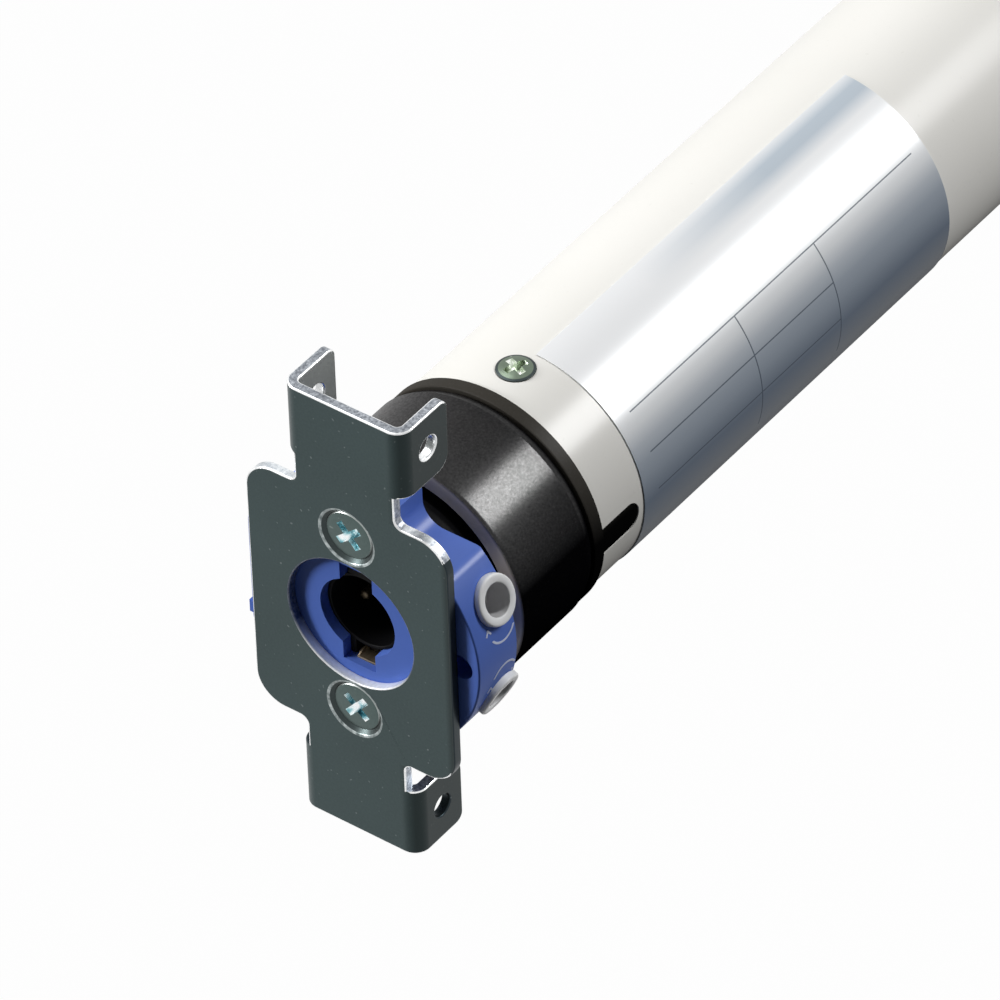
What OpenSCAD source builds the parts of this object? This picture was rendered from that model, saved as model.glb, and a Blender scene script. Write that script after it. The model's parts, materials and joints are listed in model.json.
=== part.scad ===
// Tubular motor for a roller blind, with a plug-in head and mechanical end limits.
// Frame: +X along the tube from the bracket's front face, +Z up along the bracket.
// Angles round the axis are measured from +Z towards -Y, as radial() turns them.

/* [Bracket] */
// Thickness of the bracket's steel sheet
sheet_t = 1.5; // [1.2:0.1:1.8]
// Width of the wide middle plate
plate_w = 32.2; // [30:0.2:33]
// Height of the wide middle plate
plate_h = 41; // [39:0.5:44]
// Corner radius of the wide middle plate
plate_r = 4.5; // [3:0.5:6]
// Width of the neck between the plate and the ears
neck_w = 15.8; // [14:0.2:16]
// Radius of the inner corners where the neck meets the plate
neck_r = 1.2; // [0.6:0.2:2]
// Overall height of the bracket over its ears
bracket_h = 72.6; // [70:0.2:80]
// Width over the outer faces of the ears
ears_w = 19.2; // [18.8:0.2:22]
// Outer radius of the ear bends
bend_r = 2.3; // [2:0.1:2.6]
// Depth of the ears behind the front face
ear_d = 9.6; // [8.6:0.2:11]
// Height of each ear
ear_h = 11; // [9:0.5:12]
// Radius of the ears' free corners
ear_r = 1.4; // [0.8:0.2:2]
// Diameter of the hole in each ear
ear_hole_d = 3.4; // [2.6:0.1:4]
// Distance of the ear holes behind the front face
ear_hole_x = 5.4; // [5:0.1:6]
// Distance of the ear holes from the tube's axis
ear_hole_z = 30.9; // [30:0.1:31.6]
// Distance of the bracket screws from the tube's axis
plate_screw_z = 14.8; // [14.4:0.1:15.2]
// Diameter of the large hole in the plate
plate_hole_d = 20; // [18:0.5:20.4]

/* [Head] */
// Diameter of the blue head
head_d = 39; // [38.4:0.2:41]
// Length of the blue head behind the plate
head_l = 8.3; // [8:0.1:9]
// Distance of the flat on the head's far side from the axis
head_flat = 17.3; // [17:0.1:18]
// Half width of the solid block between the finger notches
block_half = 4.9; // [4.5:0.1:5.2]
// Height of the notch floor above the axis
notch_z = 13.3; // [13:0.1:14]
// Radius of the notch's inner corner
notch_in_r = 3.4; // [2:0.2:4]
// Radius of the notch's outer corner
notch_out_r = 1.6; // [1:0.2:2]
// Diameter of the cable socket's bore
socket_d = 12; // [11:0.2:12]
// Width of the two keyways of the socket
keyway_w = 5.2; // [4:0.2:5.6]
// Reach of the keyways from the axis
keyway_reach = 8.2; // [7.4:0.1:8.4]

/* [Limit adjusters] */
// Outer diameter of an adjuster's collar
adjuster_d = 7; // [6:0.2:7.2]
// Diameter of the collar's mouth
adjuster_bore_d = 4.5; // [3.8:0.1:5]
// Width across flats of the key socket in an adjuster
adjuster_key_w = 3; // [2.5:0.1:3.4]
// Distance of the adjusters behind the plate
adjuster_back = 5.8; // [5.4:0.1:6]
// Angle of each adjuster from the head's side
adjuster_angle = 24; // [23:0.5:26]
// Height of the collars above the head's round side
adjuster_proud = 0.7; // [0.3:0.1:1]
// Teeth of the worm wheels
worm_teeth = 12; // [11:1:13]
// Module of the worm wheels
worm_mod = 0.4; // [0.38:0.01:0.41]

/* [Crown] */
// Outer diameter of the crown ring
crown_d = 36.2; // [35.8:0.2:37.6]
// Length of the crown ring
crown_l = 15.5; // [15:0.1:16]
// Gap between the head and the crown
crown_gap = 3.3; // [3:0.1:4]
// Wall of the crown at its open front
crown_wall = 2.9; // [2.4:0.1:3]
// Teeth inside the crown
crown_teeth = 44; // [43:1:45]
// Teeth of the pinion that the crown drives
pinion_teeth = 12; // [11:1:13]

/* [Tube] */
// Outer diameter of the motor tube
tube_d = 35; // [35:0.1:35.6]
// Wall of the motor tube
tube_wall = 1.2; // [1:0.1:1.3]
// Diameter of the black flange at the tube's mouth
flange_d = 35.8; // [35.8:0.1:36.2]
// Width of the black flange's rim
flange_t = 2.2; // [1.8:0.1:2.6]
// Width of the key slot in the tube's edge
slot_w = 4.4; // [3.6:0.1:5]
// Length of the key slot
slot_l = 8.1; // [6:0.1:9]
// Distance of the tube screw from the tube's mouth
screw_back = 5.6; // [5:0.1:7]
// Diameter of a tube screw's head
screw_head_d = 5.4; // [4.6:0.1:5.6]
// Distance of the label from the tube's mouth
label_back = 9.2; // [9.2:0.1:14]
// Length of the label
label_l = 70; // [50:1:80]
// Angle that the label covers round the tube
label_angle = 131; // [100:1:140]

/* [Limit switch unit] */
// Length of the limit switch unit
limit_l = 50; // [49:0.5:54]
// Teeth of the small gear that drives the spindles
drive_teeth = 10; // [9:1:10]
// Teeth of the spindle gears
spindle_teeth = 26; // [26:1:27]
// Offset of each spindle from the middle plane
spindle_z = 7.5; // [7.4:0.05:7.6]
// Distance that a nut travels each way
nut_travel = 12.7; // [12:0.1:12.7]
// Distance that a switch carriage travels each way
carriage_travel = 5.1; // [4:0.1:5.1]
// Distance along X between a nut and its switch carriage
switch_spacing = 11; // [10.6:0.1:11.2]

/* [Motor] */
// Length of the capacitor
capacitor_l = 56; // [40:1:70]
// Thickness of the sleeve round the capacitor
sleeve_wall = 2.2; // [2.2:0.1:4]
// Length of the stator's lamination stack
stator_l = 115; // [80:1:130]
// Length of the winding ends
winding_l = 10; // [7:0.5:12]
// Diameter of the rotor
rotor_d = 18; // [16:0.2:18]
// Air gap between rotor and stator
air_gap = 0.2; // [0.15:0.05:0.4]
// Number of stator slots
stator_slots = 12; // [8:1:12]
// Number of bars in the rotor's cage
cage_bars = 17; // [9:1:19]
// Diameter of the rotor shaft
shaft_d = 6; // [5:0.2:6]
// Stroke that frees the brake
brake_stroke = 0.5; // [0.3:0.1:0.8]

/* [Gearbox] */
// Thickness of the ring gear behind its teeth
ring_wall = 2.42; // [2.42:0.02:3]
// Teeth of the sun gears
sun_teeth = 10; // [10:2:12]
// Teeth of the planet gears
planet_teeth = 17; // [16:1:17]
// Width of the first, second and third stage
stage_w1 = 8; // [6:0.5:10]
stage_w2 = 10; // [8:0.5:12]
stage_w3 = 14; // [12:0.5:16]
// Diameter of the planets' pins
pin_d = 3.2; // [2.6:0.1:3.6]
// Length of the output bearing
bearing_l = 22; // [16:1:26]
// Diameter of the output shaft in its bearing
output_d = 16; // [14:0.5:16]
// Diameter of the bare drive end
drive_d = 10; // [8:0.5:10]
// Length of the bare drive end
drive_l = 18; // [14:1:24]
// Distance of the drive end's flat from the axis, as a share of its radius
drive_flat = 0.8; // [0.8:0.05:0.9]

/* [Hidden] */
$fn = 64;

// Clearances: a running fit, a loose gap between moving parts, and a gap between fixed curved faces
run = 0.05;
loose = 0.4;
fixed = 0.05;
// Length by which a cutting shape passes the face that it cuts
over = 1;

// Places along X, each worked out from the one before it
head_x = sheet_t;
core_x = head_x + head_l;
adjuster_x = head_x + adjuster_back;
crown_x = core_x + crown_gap;
flange_x = crown_x + crown_l + 0.2;
tube_x = flange_x + flange_t;
spigot_l = slot_l + 4;
limit_x = tube_x + spigot_l;
board_x = limit_x + limit_l;
board_t = 1.6;
sleeve_x = board_x + board_t;
sleeve_lip = 2;
brake_x = sleeve_x + capacitor_l + 2 * sleeve_lip;
brake_plate_t = 3;
brake_disc_t = 5;
brake_room = 13;
front_shield_x = brake_x + brake_plate_t + brake_room;
shield_t = 6;
stator_x = front_shield_x + shield_t + winding_l + loose;
stator_end = stator_x + stator_l;
rear_shield_x = stator_end + winding_l + loose;
gear_x = rear_shield_x + shield_t;
carrier_t = 3;
stage1_x = gear_x + 1.5;
carrier1_x = stage1_x + stage_w1 + loose;
stage2_x = carrier1_x + carrier_t + loose;
carrier2_x = stage2_x + stage_w2 + loose;
stage3_x = carrier2_x + carrier_t + loose;
output_x = stage3_x + stage_w3 + loose;
output_disc_t = 5;
cap_x = output_x + output_disc_t + loose;
cap_seat = 1.5;
bearing_x = cap_x + cap_seat;
cap_bore_x = bearing_x + bearing_l;
cap_flange_t = 2.5;
tube_end = cap_bore_x + 4;
cap_end = tube_end + cap_flange_t;
clip_t = 1.2;
collar_l = 2.5;
drive_x = cap_end + collar_l;
end_screw_x = cap_bore_x - 5;

// Radii
head_r = head_d / 2;
tube_r = tube_d / 2;
bore_r = tube_r - tube_wall;
inner_r = bore_r - fixed;
socket_r = socket_d / 2;
insert_r = socket_r - fixed;
crown_r = crown_d / 2;
crown_bore_r = crown_r - crown_wall;
journal_r = crown_bore_r - run;
capacitor_r = inner_r - sleeve_wall - fixed;
rotor_r = rotor_d / 2;
shaft_r = shaft_d / 2;
shaft_core_r = shaft_r + 1.5;
pin_r = pin_d / 2;
output_r = output_d / 2;
drive_r = drive_d / 2;
bearing_wall = 3;

// Gears: tooth height as a share of the module, pressure angle and play at the pitch circle
tooth_top = 0.8;
tooth_root = 1.05;
pressure = 25;
play = 0.1;
flank_steps = 4;
limit_mod = 0.6;
train_mod = 0.5;
ring_teeth = sun_teeth + 2 * planet_teeth;
gear_mod = (inner_r - ring_wall) / (ring_teeth / 2 + tooth_root);
sun_r = gear_mod * sun_teeth / 2;
planet_r = gear_mod * planet_teeth / 2;
ring_r = gear_mod * ring_teeth / 2;
orbit_r = sun_r + planet_r;
carrier_r = ring_r - gear_mod * tooth_top - loose;
crown_gear_r = limit_mod * crown_teeth / 2;
crown_tip_r = crown_gear_r - limit_mod * tooth_top;
pinion_y = limit_mod * (crown_teeth - pinion_teeth) / 2;
pinion_tip_r = limit_mod * (pinion_teeth / 2 + tooth_top);
gear_band_l = 4;
gear_band_x = crown_x + crown_l - gear_band_l - 0.4;
journal_l = 5;
train_gap = train_mod * (drive_teeth + spindle_teeth) / 2;
spindle_y = pinion_y - sqrt(pow(train_gap, 2) - pow(spindle_z, 2));

// Head core
core_neck_r = crown_tip_r - loose;
core_flange_t = 2;
core_end = limit_x;
core_spigot_r = core_neck_r - 0.3;

// Worm drives: the worm's axis is radial and the wheel's is parallel to X
worm_pitch_r = 1.6;
worm_core_r = 1.15;
worm_tip_r = 1.95;
worm_lead = PI * worm_mod;
wheel_r = worm_mod * worm_teeth / 2;
wheel_tip_r = wheel_r + worm_mod * tooth_top;
wheel_w = 1.6;
wheel_side = worm_pitch_r + wheel_r;
rod_reach = 10;
wheel_s = sqrt(pow(rod_reach, 2) - pow(wheel_side, 2));
rod_r = 1.25;
worm_bottom = socket_r + 0.6;
collar_bottom = 13.2;
collar_top = head_r + adjuster_proud;
angle_up = 90 - adjuster_angle;
angle_down = 90 + adjuster_angle;

// Limit unit
limit_plate_t = 2.5;
web_half = 1;
spindle_r = 1.5;
train_w = 3;
train_x = limit_x + limit_plate_t + loose;
nut_l = 8;
nut_w = 7;
carriage_l = 8;
carriage_w = 7;
carriage_up_x = board_x - limit_plate_t - carriage_l / 2 - carriage_travel - loose;
nut_x = carriage_up_x - switch_spacing;
carriage_down_x = nut_x - switch_spacing;
lead_r = 0.7;
lead_y = -4;
lead_z = 2.2;
motor_lead_y = inner_r - 1.1;
motor_lead_gap = 1.6;

// Small fasteners
m4_r = 2;
m3_r = 1.45;
plate_screw_l = 10;
csk_r = 4.3;
tube_screw_l = 6.5;
end_screw_l = 3.6;

// Involute of an angle, in degrees
function inv(a) = tan(a) * 180 / PI - a;
// Half the angle of a tooth at radius r
function tooth_half(mod, teeth, slack, r) =
    let (pitch = mod * teeth / 2, base = pitch * cos(pressure))
    90 / teeth - slack / pitch * 90 / PI + inv(pressure) - (r > base ? inv(acos(base / r)) : 0);
// One tooth, as points on its two flanks, turned to angle a
function tooth(mod, teeth, slack, low, high, a) = [
    for (side = [-1, 1], i = [0 : flank_steps])
        let (
            base = mod * teeth / 2 * cos(pressure),
            foot = max(base, low),
            k = side < 0 ? i : flank_steps - i,
            r = foot + (high - foot) * k / flank_steps,
            half = tooth_half(mod, teeth, slack, r)
        )
        each (k == 0 && low < base)
            ? (side < 0 ? [polar(low, a - half), polar(r, a - half)] : [polar(r, a + half), polar(low, a + half)])
            : [polar(r, a + side * half)]
];
function polar(r, a) = [r * cos(a), r * sin(a)];

// Outline of an outer gear
module gear2d(mod, teeth, turn = 0) {
    pitch = mod * teeth / 2;
    polygon([
        for (i = [0 : teeth - 1])
            each tooth(mod, teeth, play / 2, pitch - mod * tooth_root, pitch + mod * tooth_top, turn + 360 * i / teeth)
    ]);
}
// Outline of the hole inside a ring gear
module ring_hole2d(mod, teeth) {
    pitch = mod * teeth / 2;
    polygon([
        for (i = [0 : teeth - 1])
            each tooth(mod, teeth, -play / 2, pitch - mod * tooth_top, pitch + mod * tooth_root, 360 * i / teeth)
    ]);
}
// Extrudes an outline in the Y-Z plane along +X
module slab(x, l) {
    translate([x, 0, 0]) rotate([90, 0, 90]) linear_extrude(l) children();
}
module bar(x, l, r) {
    translate([x, 0, 0]) rotate([0, 90, 0]) cylinder(h = l, r = r);
}
module cone(x, l, r1, r2) {
    translate([x, 0, 0]) rotate([0, 90, 0]) cylinder(h = l, r1 = r1, r2 = r2);
}
module ring(x, l, outer, inner) {
    difference() {
        bar(x, l, outer);
        bar(x - over, l + 2 * over, inner);
    }
}
// Turns local +Z to the radial direction at an angle from +Z towards -Y
module radial(angle) {
    rotate([angle, 0, 0]) children();
}
module at(y, z) {
    translate([0, y, z]) children();
}
module rounded2d(w, h, r) {
    square([w - 2 * r, h], center = true);
    square([w, h - 2 * r], center = true);
    for (sx = [-1, 1], sy = [-1, 1])
        translate([sx * (w / 2 - r), sy * (h / 2 - r)]) circle(r);
}
module cross_recess(size, depth) {
    for (a = [0, 90])
        rotate([0, 0, a]) translate([-size / 2, -size / 8, -depth]) cube([size, size / 4, depth + over]);
}

module bracket_plate() {
    ear_z = bracket_h / 2 - ear_h;
    flat_w = ears_w - 2 * bend_r;
    color("dimgray")
    difference() {
        union() {
            slab(0, sheet_t) {
                rounded2d(plate_w, plate_h, plate_r);
                square([neck_w, 2 * ear_z], center = true);
                square([flat_w, bracket_h], center = true);
                for (my = [0, 1], mz = [0, 1])
                    mirror([my, 0]) mirror([0, mz]) translate([neck_w / 2, plate_h / 2]) difference() {
                        square(neck_r);
                        translate([neck_r, neck_r]) circle(neck_r);
                    }
            }
            for (sy = [0, 1], sz = [0, 1])
                mirror([0, sy, 0]) mirror([0, 0, sz]) translate([0, 0, ear_z]) ear();
        }
        bar(-over, sheet_t + 2 * over, plate_hole_d / 2);
        for (sz = [-1, 1]) {
            at(0, sz * plate_screw_z) cone(-over, sheet_t + 2 * over, csk_r + over, csk_r - sheet_t - over);
            translate([ear_hole_x, ears_w, sz * ear_hole_z]) rotate([90, 0, 0]) cylinder(h = 2 * ears_w, d = ear_hole_d);
        }
    }
}
// One bent ear, standing on Z = 0 at the +Y side
module ear() {
    bend_y = ears_w / 2 - bend_r;
    linear_extrude(ear_h)
    intersection() {
        translate([bend_r, bend_y]) difference() {
            circle(bend_r);
            circle(bend_r - sheet_t);
        }
        translate([0, bend_y]) square(bend_r);
    }
    translate([0, ears_w / 2, 0]) rotate([90, 0, 0]) linear_extrude(sheet_t)
    intersection() {
        translate([ear_d / 2, ear_h / 2]) rounded2d(ear_d, ear_h, ear_r);
        translate([bend_r, 0]) square([ear_d, ear_h]);
    }
}

module bracket_screws() {
    head_top = 0.45;
    color("silver")
    for (sz = [-1, 1])
        at(0, sz * plate_screw_z)
        difference() {
            union() {
                cone(head_top, csk_r - head_top - m4_r, csk_r - head_top - fixed, m4_r - fixed);
                bar(csk_r - m4_r - 0.2, plate_screw_l - csk_r + m4_r, m4_r - fixed);
            }
            translate([head_top, 0, 0]) rotate([0, -90, 0]) rotate([0, 0, 45]) cross_recess(4, 1.4);
        }
}

// Outline of the blue head: a round disc with a flat side and four finger notches
module head2d() {
    out_y = sqrt(pow(head_r - notch_out_r, 2) - pow(notch_z - notch_out_r, 2));
    out_z = notch_z - notch_out_r;
    tangent = [out_y, out_z] / (head_r - notch_out_r);
    difference() {
        circle(head_r, $fn = 128);
        translate([head_flat, -head_d / 2]) square(head_d);
        for (my = [0, 1], mz = [0, 1])
            mirror([my, 0]) mirror([0, mz]) {
                difference() {
                    translate([block_half, notch_z]) square(head_r);
                    difference() {
                        translate([block_half, notch_z]) square(notch_in_r);
                        translate([block_half + notch_in_r, notch_z + notch_in_r]) circle(notch_in_r);
                    }
                }
                translate([out_y, out_z]) difference() {
                    polygon([[0, 0], [0, head_r], [head_r, head_r], tangent * head_r]);
                    circle(notch_out_r);
                }
            }
    }
}
// Bore and keyways of the cable socket
module socket2d() {
    circle(socket_r);
    square([keyway_w, 2 * keyway_reach], center = true);
}

module head_cover() {
    lug_z = -7;
    nick_y = -16.5;
    nick_r = 1.9;
    nick_d = 2.5;
    color("royalblue")
    difference() {
        union() {
            slab(head_x, head_l) head2d();
            translate([head_x, 0, lug_z - 1]) cube([2.5, head_flat + 0.6, 2]);
        }
        slab(head_x - over, head_l + 2 * over) socket2d();
        at(nick_y, 0) bar(head_x - over, nick_d + over, nick_r);
        for (sz = [-1, 1])
            at(0, sz * plate_screw_z) {
                cone(head_x, csk_r - m4_r - head_x, csk_r - head_x, m4_r);
                bar(head_x, plate_screw_l, m4_r);
            }
        for (i = [0, 1])
            adjuster_room(i == 0 ? angle_up : angle_down, i == 0 ? 1 : -1);
    }
}
// Space that an adjuster, its worm wheel and its rod need in the head.
// side is +1 where the wheel lies on the local +Y side of the worm
module adjuster_room(angle, side) {
    radial(angle) {
        translate([adjuster_x, 0, collar_bottom - 0.1]) cylinder(h = head_r, r = adjuster_d / 2 + run);
        translate([adjuster_x, 0, worm_bottom - 0.1]) cylinder(h = head_r, r = worm_tip_r + 0.15);
        at(side * wheel_side, wheel_s) {
            bar(adjuster_x - wheel_w / 2 - 0.2, head_l, wheel_tip_r + 0.25);
            bar(adjuster_x - wheel_w / 2 - 2.2, head_l, rod_r + run);
        }
    }
}

module head_core() {
    journal_x = gear_band_x - journal_l;
    pocket_r = pinion_tip_r + 0.3;
    color("black")
    difference() {
        union() {
            bar(core_x, core_flange_t, crown_bore_r - 0.2);
            bar(core_x, flange_x - core_x, core_neck_r);
            bar(journal_x, journal_l - 0.2, journal_r);
            bar(core_x, core_end - core_x, core_spigot_r);
        }
        bar(core_x - over, core_end, socket_r);
        for (i = [0, 1]) {
            angle = i == 0 ? angle_up : angle_down;
            side = i == 0 ? 1 : -1;
            radial(angle) {
                translate([adjuster_x, 0, worm_bottom]) cylinder(h = head_r, r = adjuster_d / 2 + 0.2);
                at(side * wheel_side, wheel_s) bar(core_x - over, core_end, rod_r + run);
            }
        }
        for (sz = [-1, 1])
            at(0, sz * plate_screw_z) bar(core_x - over, core_flange_t + 2 * over, m4_r + 0.3);
        at(pinion_y, 0) {
            bar(gear_band_x, flange_x - gear_band_x, pocket_r);
            bar(gear_band_x - 2.5, core_end, spindle_r + run);
        }
        for (a = [0, 180])
            radial(a) translate([tube_x + screw_back, 0, tube_r - tube_screw_l - 0.3]) cylinder(h = tube_r, r = m3_r + fixed);
    }
}

module socket_insert() {
    insert_x = core_x;
    insert_l = gear_band_x - 0.6 - insert_x;
    liner_x = head_x + 1.5;
    key_half = keyway_w / 2 - 0.1;
    color("black")
    difference() {
        union() {
            bar(insert_x, insert_l, insert_r);
            ring(liner_x, insert_x - liner_x + over, insert_r, insert_r - 0.5);
            translate([liner_x, -key_half, insert_r - 0.4])
                cube([insert_x - liner_x - 0.2, 2 * key_half, keyway_reach - insert_r + 0.3]);
        }
        ring(insert_x - over, 3 + over, insert_r - 1, 2.4);
        for (a = [0 : 120 : 240])
            rotate([a, 0, 0]) at(0, 3.6) bar(insert_x - over, insert_l + 2 * over, 0.75);
        for (a = [-1, 1])
            at(lead_y, a * lead_z) bar(insert_x + insert_l - 3, 3 + over, lead_r + fixed);
        at(lead_y / 3, lead_z) bar(insert_x + insert_l - 3, 3 + over, lead_r + fixed);
    }
}

module socket_contacts() {
    pin_start = core_x - 3;
    pin_l = 10;
    blade_w = 3.2;
    color("goldenrod") {
        for (a = [0 : 120 : 240])
            rotate([a, 0, 0]) at(0, 3.6) bar(pin_start, pin_l, 0.7);
        translate([head_x + 1, -blade_w / 2 - 0.4, -keyway_reach]) cube([head_l - 1, blade_w, 0.6]);
    }
}

// An adjuster, with its collar outwards: a key socket above a worm.
// side is +1 where the wheel lies on the local +Y side
module adjuster(angle, side) {
    bore_depth = 4;
    key_depth = 6;
    color("white")
    radial(angle) translate([adjuster_x, 0, 0])
    union() {
        difference() {
            translate([0, 0, collar_bottom]) cylinder(h = collar_top - collar_bottom, d = adjuster_d);
            translate([0, 0, collar_top - bore_depth]) cylinder(h = bore_depth + over, d = adjuster_bore_d);
            translate([0, 0, collar_top - key_depth]) cylinder(h = key_depth, d = adjuster_key_w / cos(30), $fn = 6);
        }
        translate([0, 0, worm_bottom]) cylinder(h = collar_bottom - worm_bottom + 0.5, r = worm_core_r);
        worm_thread(side);
    }
}
// The worm's thread: a right-hand ridge that passes the wheel's side at the wheel's height
module worm_thread(side) {
    steps = 20;
    turns = 3;
    foot_half = 0.38;
    crest_half = 0.11;
    bury = 0.15;
    count = steps * turns;
    section = [
        [worm_core_r - bury, -foot_half], [worm_tip_r, -crest_half],
        [worm_tip_r, crest_half], [worm_core_r - bury, foot_half]
    ];
    points = [
        for (i = [0 : count], p = section)
            let (t = 360 * (i / steps - turns / 2))
            [p[0] * cos(t + side * 90), p[0] * sin(t + side * 90), wheel_s + worm_lead * t / 360 + p[1]]
    ];
    faces = [
        [3, 2, 1, 0],
        for (i = [0 : count - 1], k = [0 : 3])
            let (a = 4 * i + k, b = 4 * i + (k + 1) % 4)
            each [[a, b, a + 4], [b, b + 4, a + 4]],
        [4 * count, 4 * count + 1, 4 * count + 2, 4 * count + 3]
    ];
    polyhedron(points, faces);
}
module adjuster_up() {
    adjuster(angle_up, 1);
}
module adjuster_down() {
    adjuster(angle_down, -1);
}

// A rod with its worm wheel in the head and its screw in the limit unit
module adjust_rod(angle, side) {
    start = adjuster_x - wheel_w / 2 - 2;
    toward_worm = side > 0 ? angle + 180 : angle;
    color("gainsboro")
    radial(angle) at(side * wheel_side, wheel_s)
    union() {
        bar(start, board_x - start - 1, rod_r);
        rotate([-angle, 0, 0]) slab(adjuster_x - wheel_w / 2, wheel_w)
            gear2d(worm_mod, worm_teeth, toward_worm - 180 / worm_teeth);
    }
}
module adjust_rod_up() {
    adjust_rod(angle_up, 1);
}
module adjust_rod_down() {
    adjust_rod(angle_down, -1);
}

module crown_ring() {
    chamfer = 1.5;
    taper = 0.5;
    color("black")
    difference() {
        union() {
            bar(crown_x, crown_l - chamfer, crown_r);
            cone(crown_x + crown_l - chamfer, chamfer, crown_r - taper * 0.4, crown_r - taper);
        }
        bar(crown_x - over, gear_band_x - crown_x + over, crown_bore_r);
        slab(gear_band_x - over, gear_band_l + 0.4 + 2 * over) ring_hole2d(limit_mod, crown_teeth);
    }
}

module tube_flange() {
    core_hole_r = core_spigot_r + fixed;
    key_r = tube_r - 0.15;
    color("black")
    difference() {
        union() {
            bar(flange_x, flange_t, flange_d / 2);
            bar(flange_x, limit_x - flange_x, inner_r);
            intersection() {
                key_block(slot_w - 2 * fixed, slot_l - fixed);
                bar(tube_x - over, slot_l + 2 * over, key_r);
            }
        }
        bar(flange_x - over, limit_x, core_hole_r);
        for (a = [0, 180])
            radial(a) translate([tube_x + screw_back, 0, 0]) cylinder(h = tube_r, r = m3_r + fixed);
    }
}
// Key or slot on the -Y side, running back from the tube's mouth to a round end
module key_block(w, l) {
    radial(90) {
        translate([tube_x - 0.5, -w / 2, 0]) cube([l - w / 2 + 0.5, w, tube_d]);
        translate([tube_x + l - w / 2, 0, 0]) cylinder(h = tube_d, d = w);
    }
}

module motor_tube() {
    color("ivory")
    difference() {
        ring(tube_x, tube_end - tube_x, tube_r, bore_r);
        intersection() {
            key_block(slot_w, slot_l);
            ring(tube_x - over, slot_l + 2 * over, tube_d, bore_r - over);
        }
        for (a = [0, 180])
            radial(a) tube_screw_hole(tube_x + screw_back);
        for (a = [0, 120, 240])
            radial(a) tube_screw_hole(end_screw_x);
    }
}
module tube_screw_hole(x) {
    top_r = screw_head_d / 2;
    translate([x, 0, bore_r - over]) cylinder(h = tube_wall + 2 * over, r = m3_r + 0.15);
    translate([x, 0, tube_r - (top_r - m3_r)]) cylinder(h = top_r - m3_r + 0.3, r1 = m3_r + 0.15, r2 = top_r + 0.45);
}
// A countersunk screw with a slightly raised head, pointing down local Z
module tube_screw(l) {
    top_r = screw_head_d / 2;
    dome = 0.45;
    ball_r = (pow(top_r, 2) + pow(dome, 2)) / (2 * dome);
    difference() {
        union() {
            translate([0, 0, -l]) cylinder(h = l, r = m3_r);
            translate([0, 0, m3_r - top_r]) cylinder(h = top_r - m3_r, r1 = m3_r, r2 = top_r);
            intersection() {
                translate([0, 0, dome - ball_r]) sphere(ball_r);
                cylinder(h = dome, r = top_r);
            }
        }
        translate([0, 0, dome]) cross_recess(3, 1.6);
    }
}
module tube_screws() {
    color("silver") {
        for (a = [0, 180])
            radial(a) translate([tube_x + screw_back, 0, tube_r]) tube_screw(tube_screw_l);
        for (a = [0, 120, 240])
            radial(a) translate([end_screw_x, 0, tube_r]) tube_screw(end_screw_l);
    }
}

module rating_label() {
    foil = 0.15;
    start = 2;
    color("lightsteelblue")
    translate([tube_x + label_back, 0, 0]) rotate([0, 90, 0]) rotate([0, 0, 180 + start])
    rotate_extrude(angle = label_angle) translate([tube_r + 0.03, 0]) square([foil, label_l]);
}

module limit_frame() {
    web_y = spindle_y;
    train_room_y = spindle_y - train_mod * (spindle_teeth / 2 + tooth_top) - loose;
    color("whitesmoke")
    difference() {
        union() {
            bar(limit_x, limit_plate_t, inner_r);
            bar(board_x - limit_plate_t, limit_plate_t, inner_r);
            intersection() {
                bar(limit_x, limit_l, inner_r);
                difference() {
                    translate([limit_x, -tube_r, -web_half]) cube([limit_l, tube_r + web_y, 2 * web_half]);
                    translate([train_x - loose, train_room_y, -tube_r])
                        cube([train_w + 2 * loose, tube_d, tube_d]);
                }
            }
        }
        at(pinion_y, 0) bar(limit_x - over, limit_plate_t + 2 * over, spindle_r + run);
        for (sz = [-1, 1]) {
            at(spindle_y, sz * spindle_z) bar(limit_x + 1, limit_l - 2, spindle_r + run);
            at(lead_y, sz * lead_z) bar(limit_x - over, limit_l + 2 * over, lead_r + fixed);
        }
        at(lead_y / 3, lead_z) bar(limit_x - over, limit_l + 2 * over, lead_r + fixed);
        for (i = [0, 1])
            radial(i == 0 ? angle_up : angle_down) at((i == 0 ? 1 : -1) * wheel_side, wheel_s)
                bar(limit_x - over, limit_l + over, rod_r + run);
    }
}

module limit_pinion() {
    start = gear_band_x - 2.4;
    color("khaki")
    at(pinion_y, 0) {
        bar(start, train_x + train_w - start, spindle_r);
        slab(gear_band_x + 0.2, gear_band_l) gear2d(limit_mod, pinion_teeth);
        slab(train_x, train_w) gear2d(train_mod, drive_teeth);
    }
}

// A spindle with its gear; side is +1 for the upper one
module limit_spindle(side) {
    theta = atan2(side * spindle_z, spindle_y - pinion_y);
    turn = theta + 180 - (0.5 - theta * drive_teeth / 360) * 360 / spindle_teeth;
    color("silver")
    at(spindle_y, side * spindle_z) {
        bar(limit_x + 1.2, limit_l - 2.4, spindle_r);
        slab(train_x, train_w) gear2d(train_mod, spindle_teeth, turn);
    }
}
module limit_spindle_up() {
    limit_spindle(1);
}
module limit_spindle_down() {
    limit_spindle(-1);
}

// A nut that the web keeps from turning
module limit_nut(side) {
    low_z = web_half + 0.3;
    high_z = spindle_z + nut_w / 2;
    color("orange")
    mirror([0, 0, side > 0 ? 0 : 1])
    difference() {
        translate([nut_x - nut_l / 2, spindle_y - nut_w / 2, low_z]) cube([nut_l, nut_w, high_z - low_z]);
        at(spindle_y, spindle_z) bar(nut_x - nut_l, 2 * nut_l, spindle_r + run);
    }
}
module limit_nut_up() {
    limit_nut(1);
}
module limit_nut_down() {
    limit_nut(-1);
}

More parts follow.
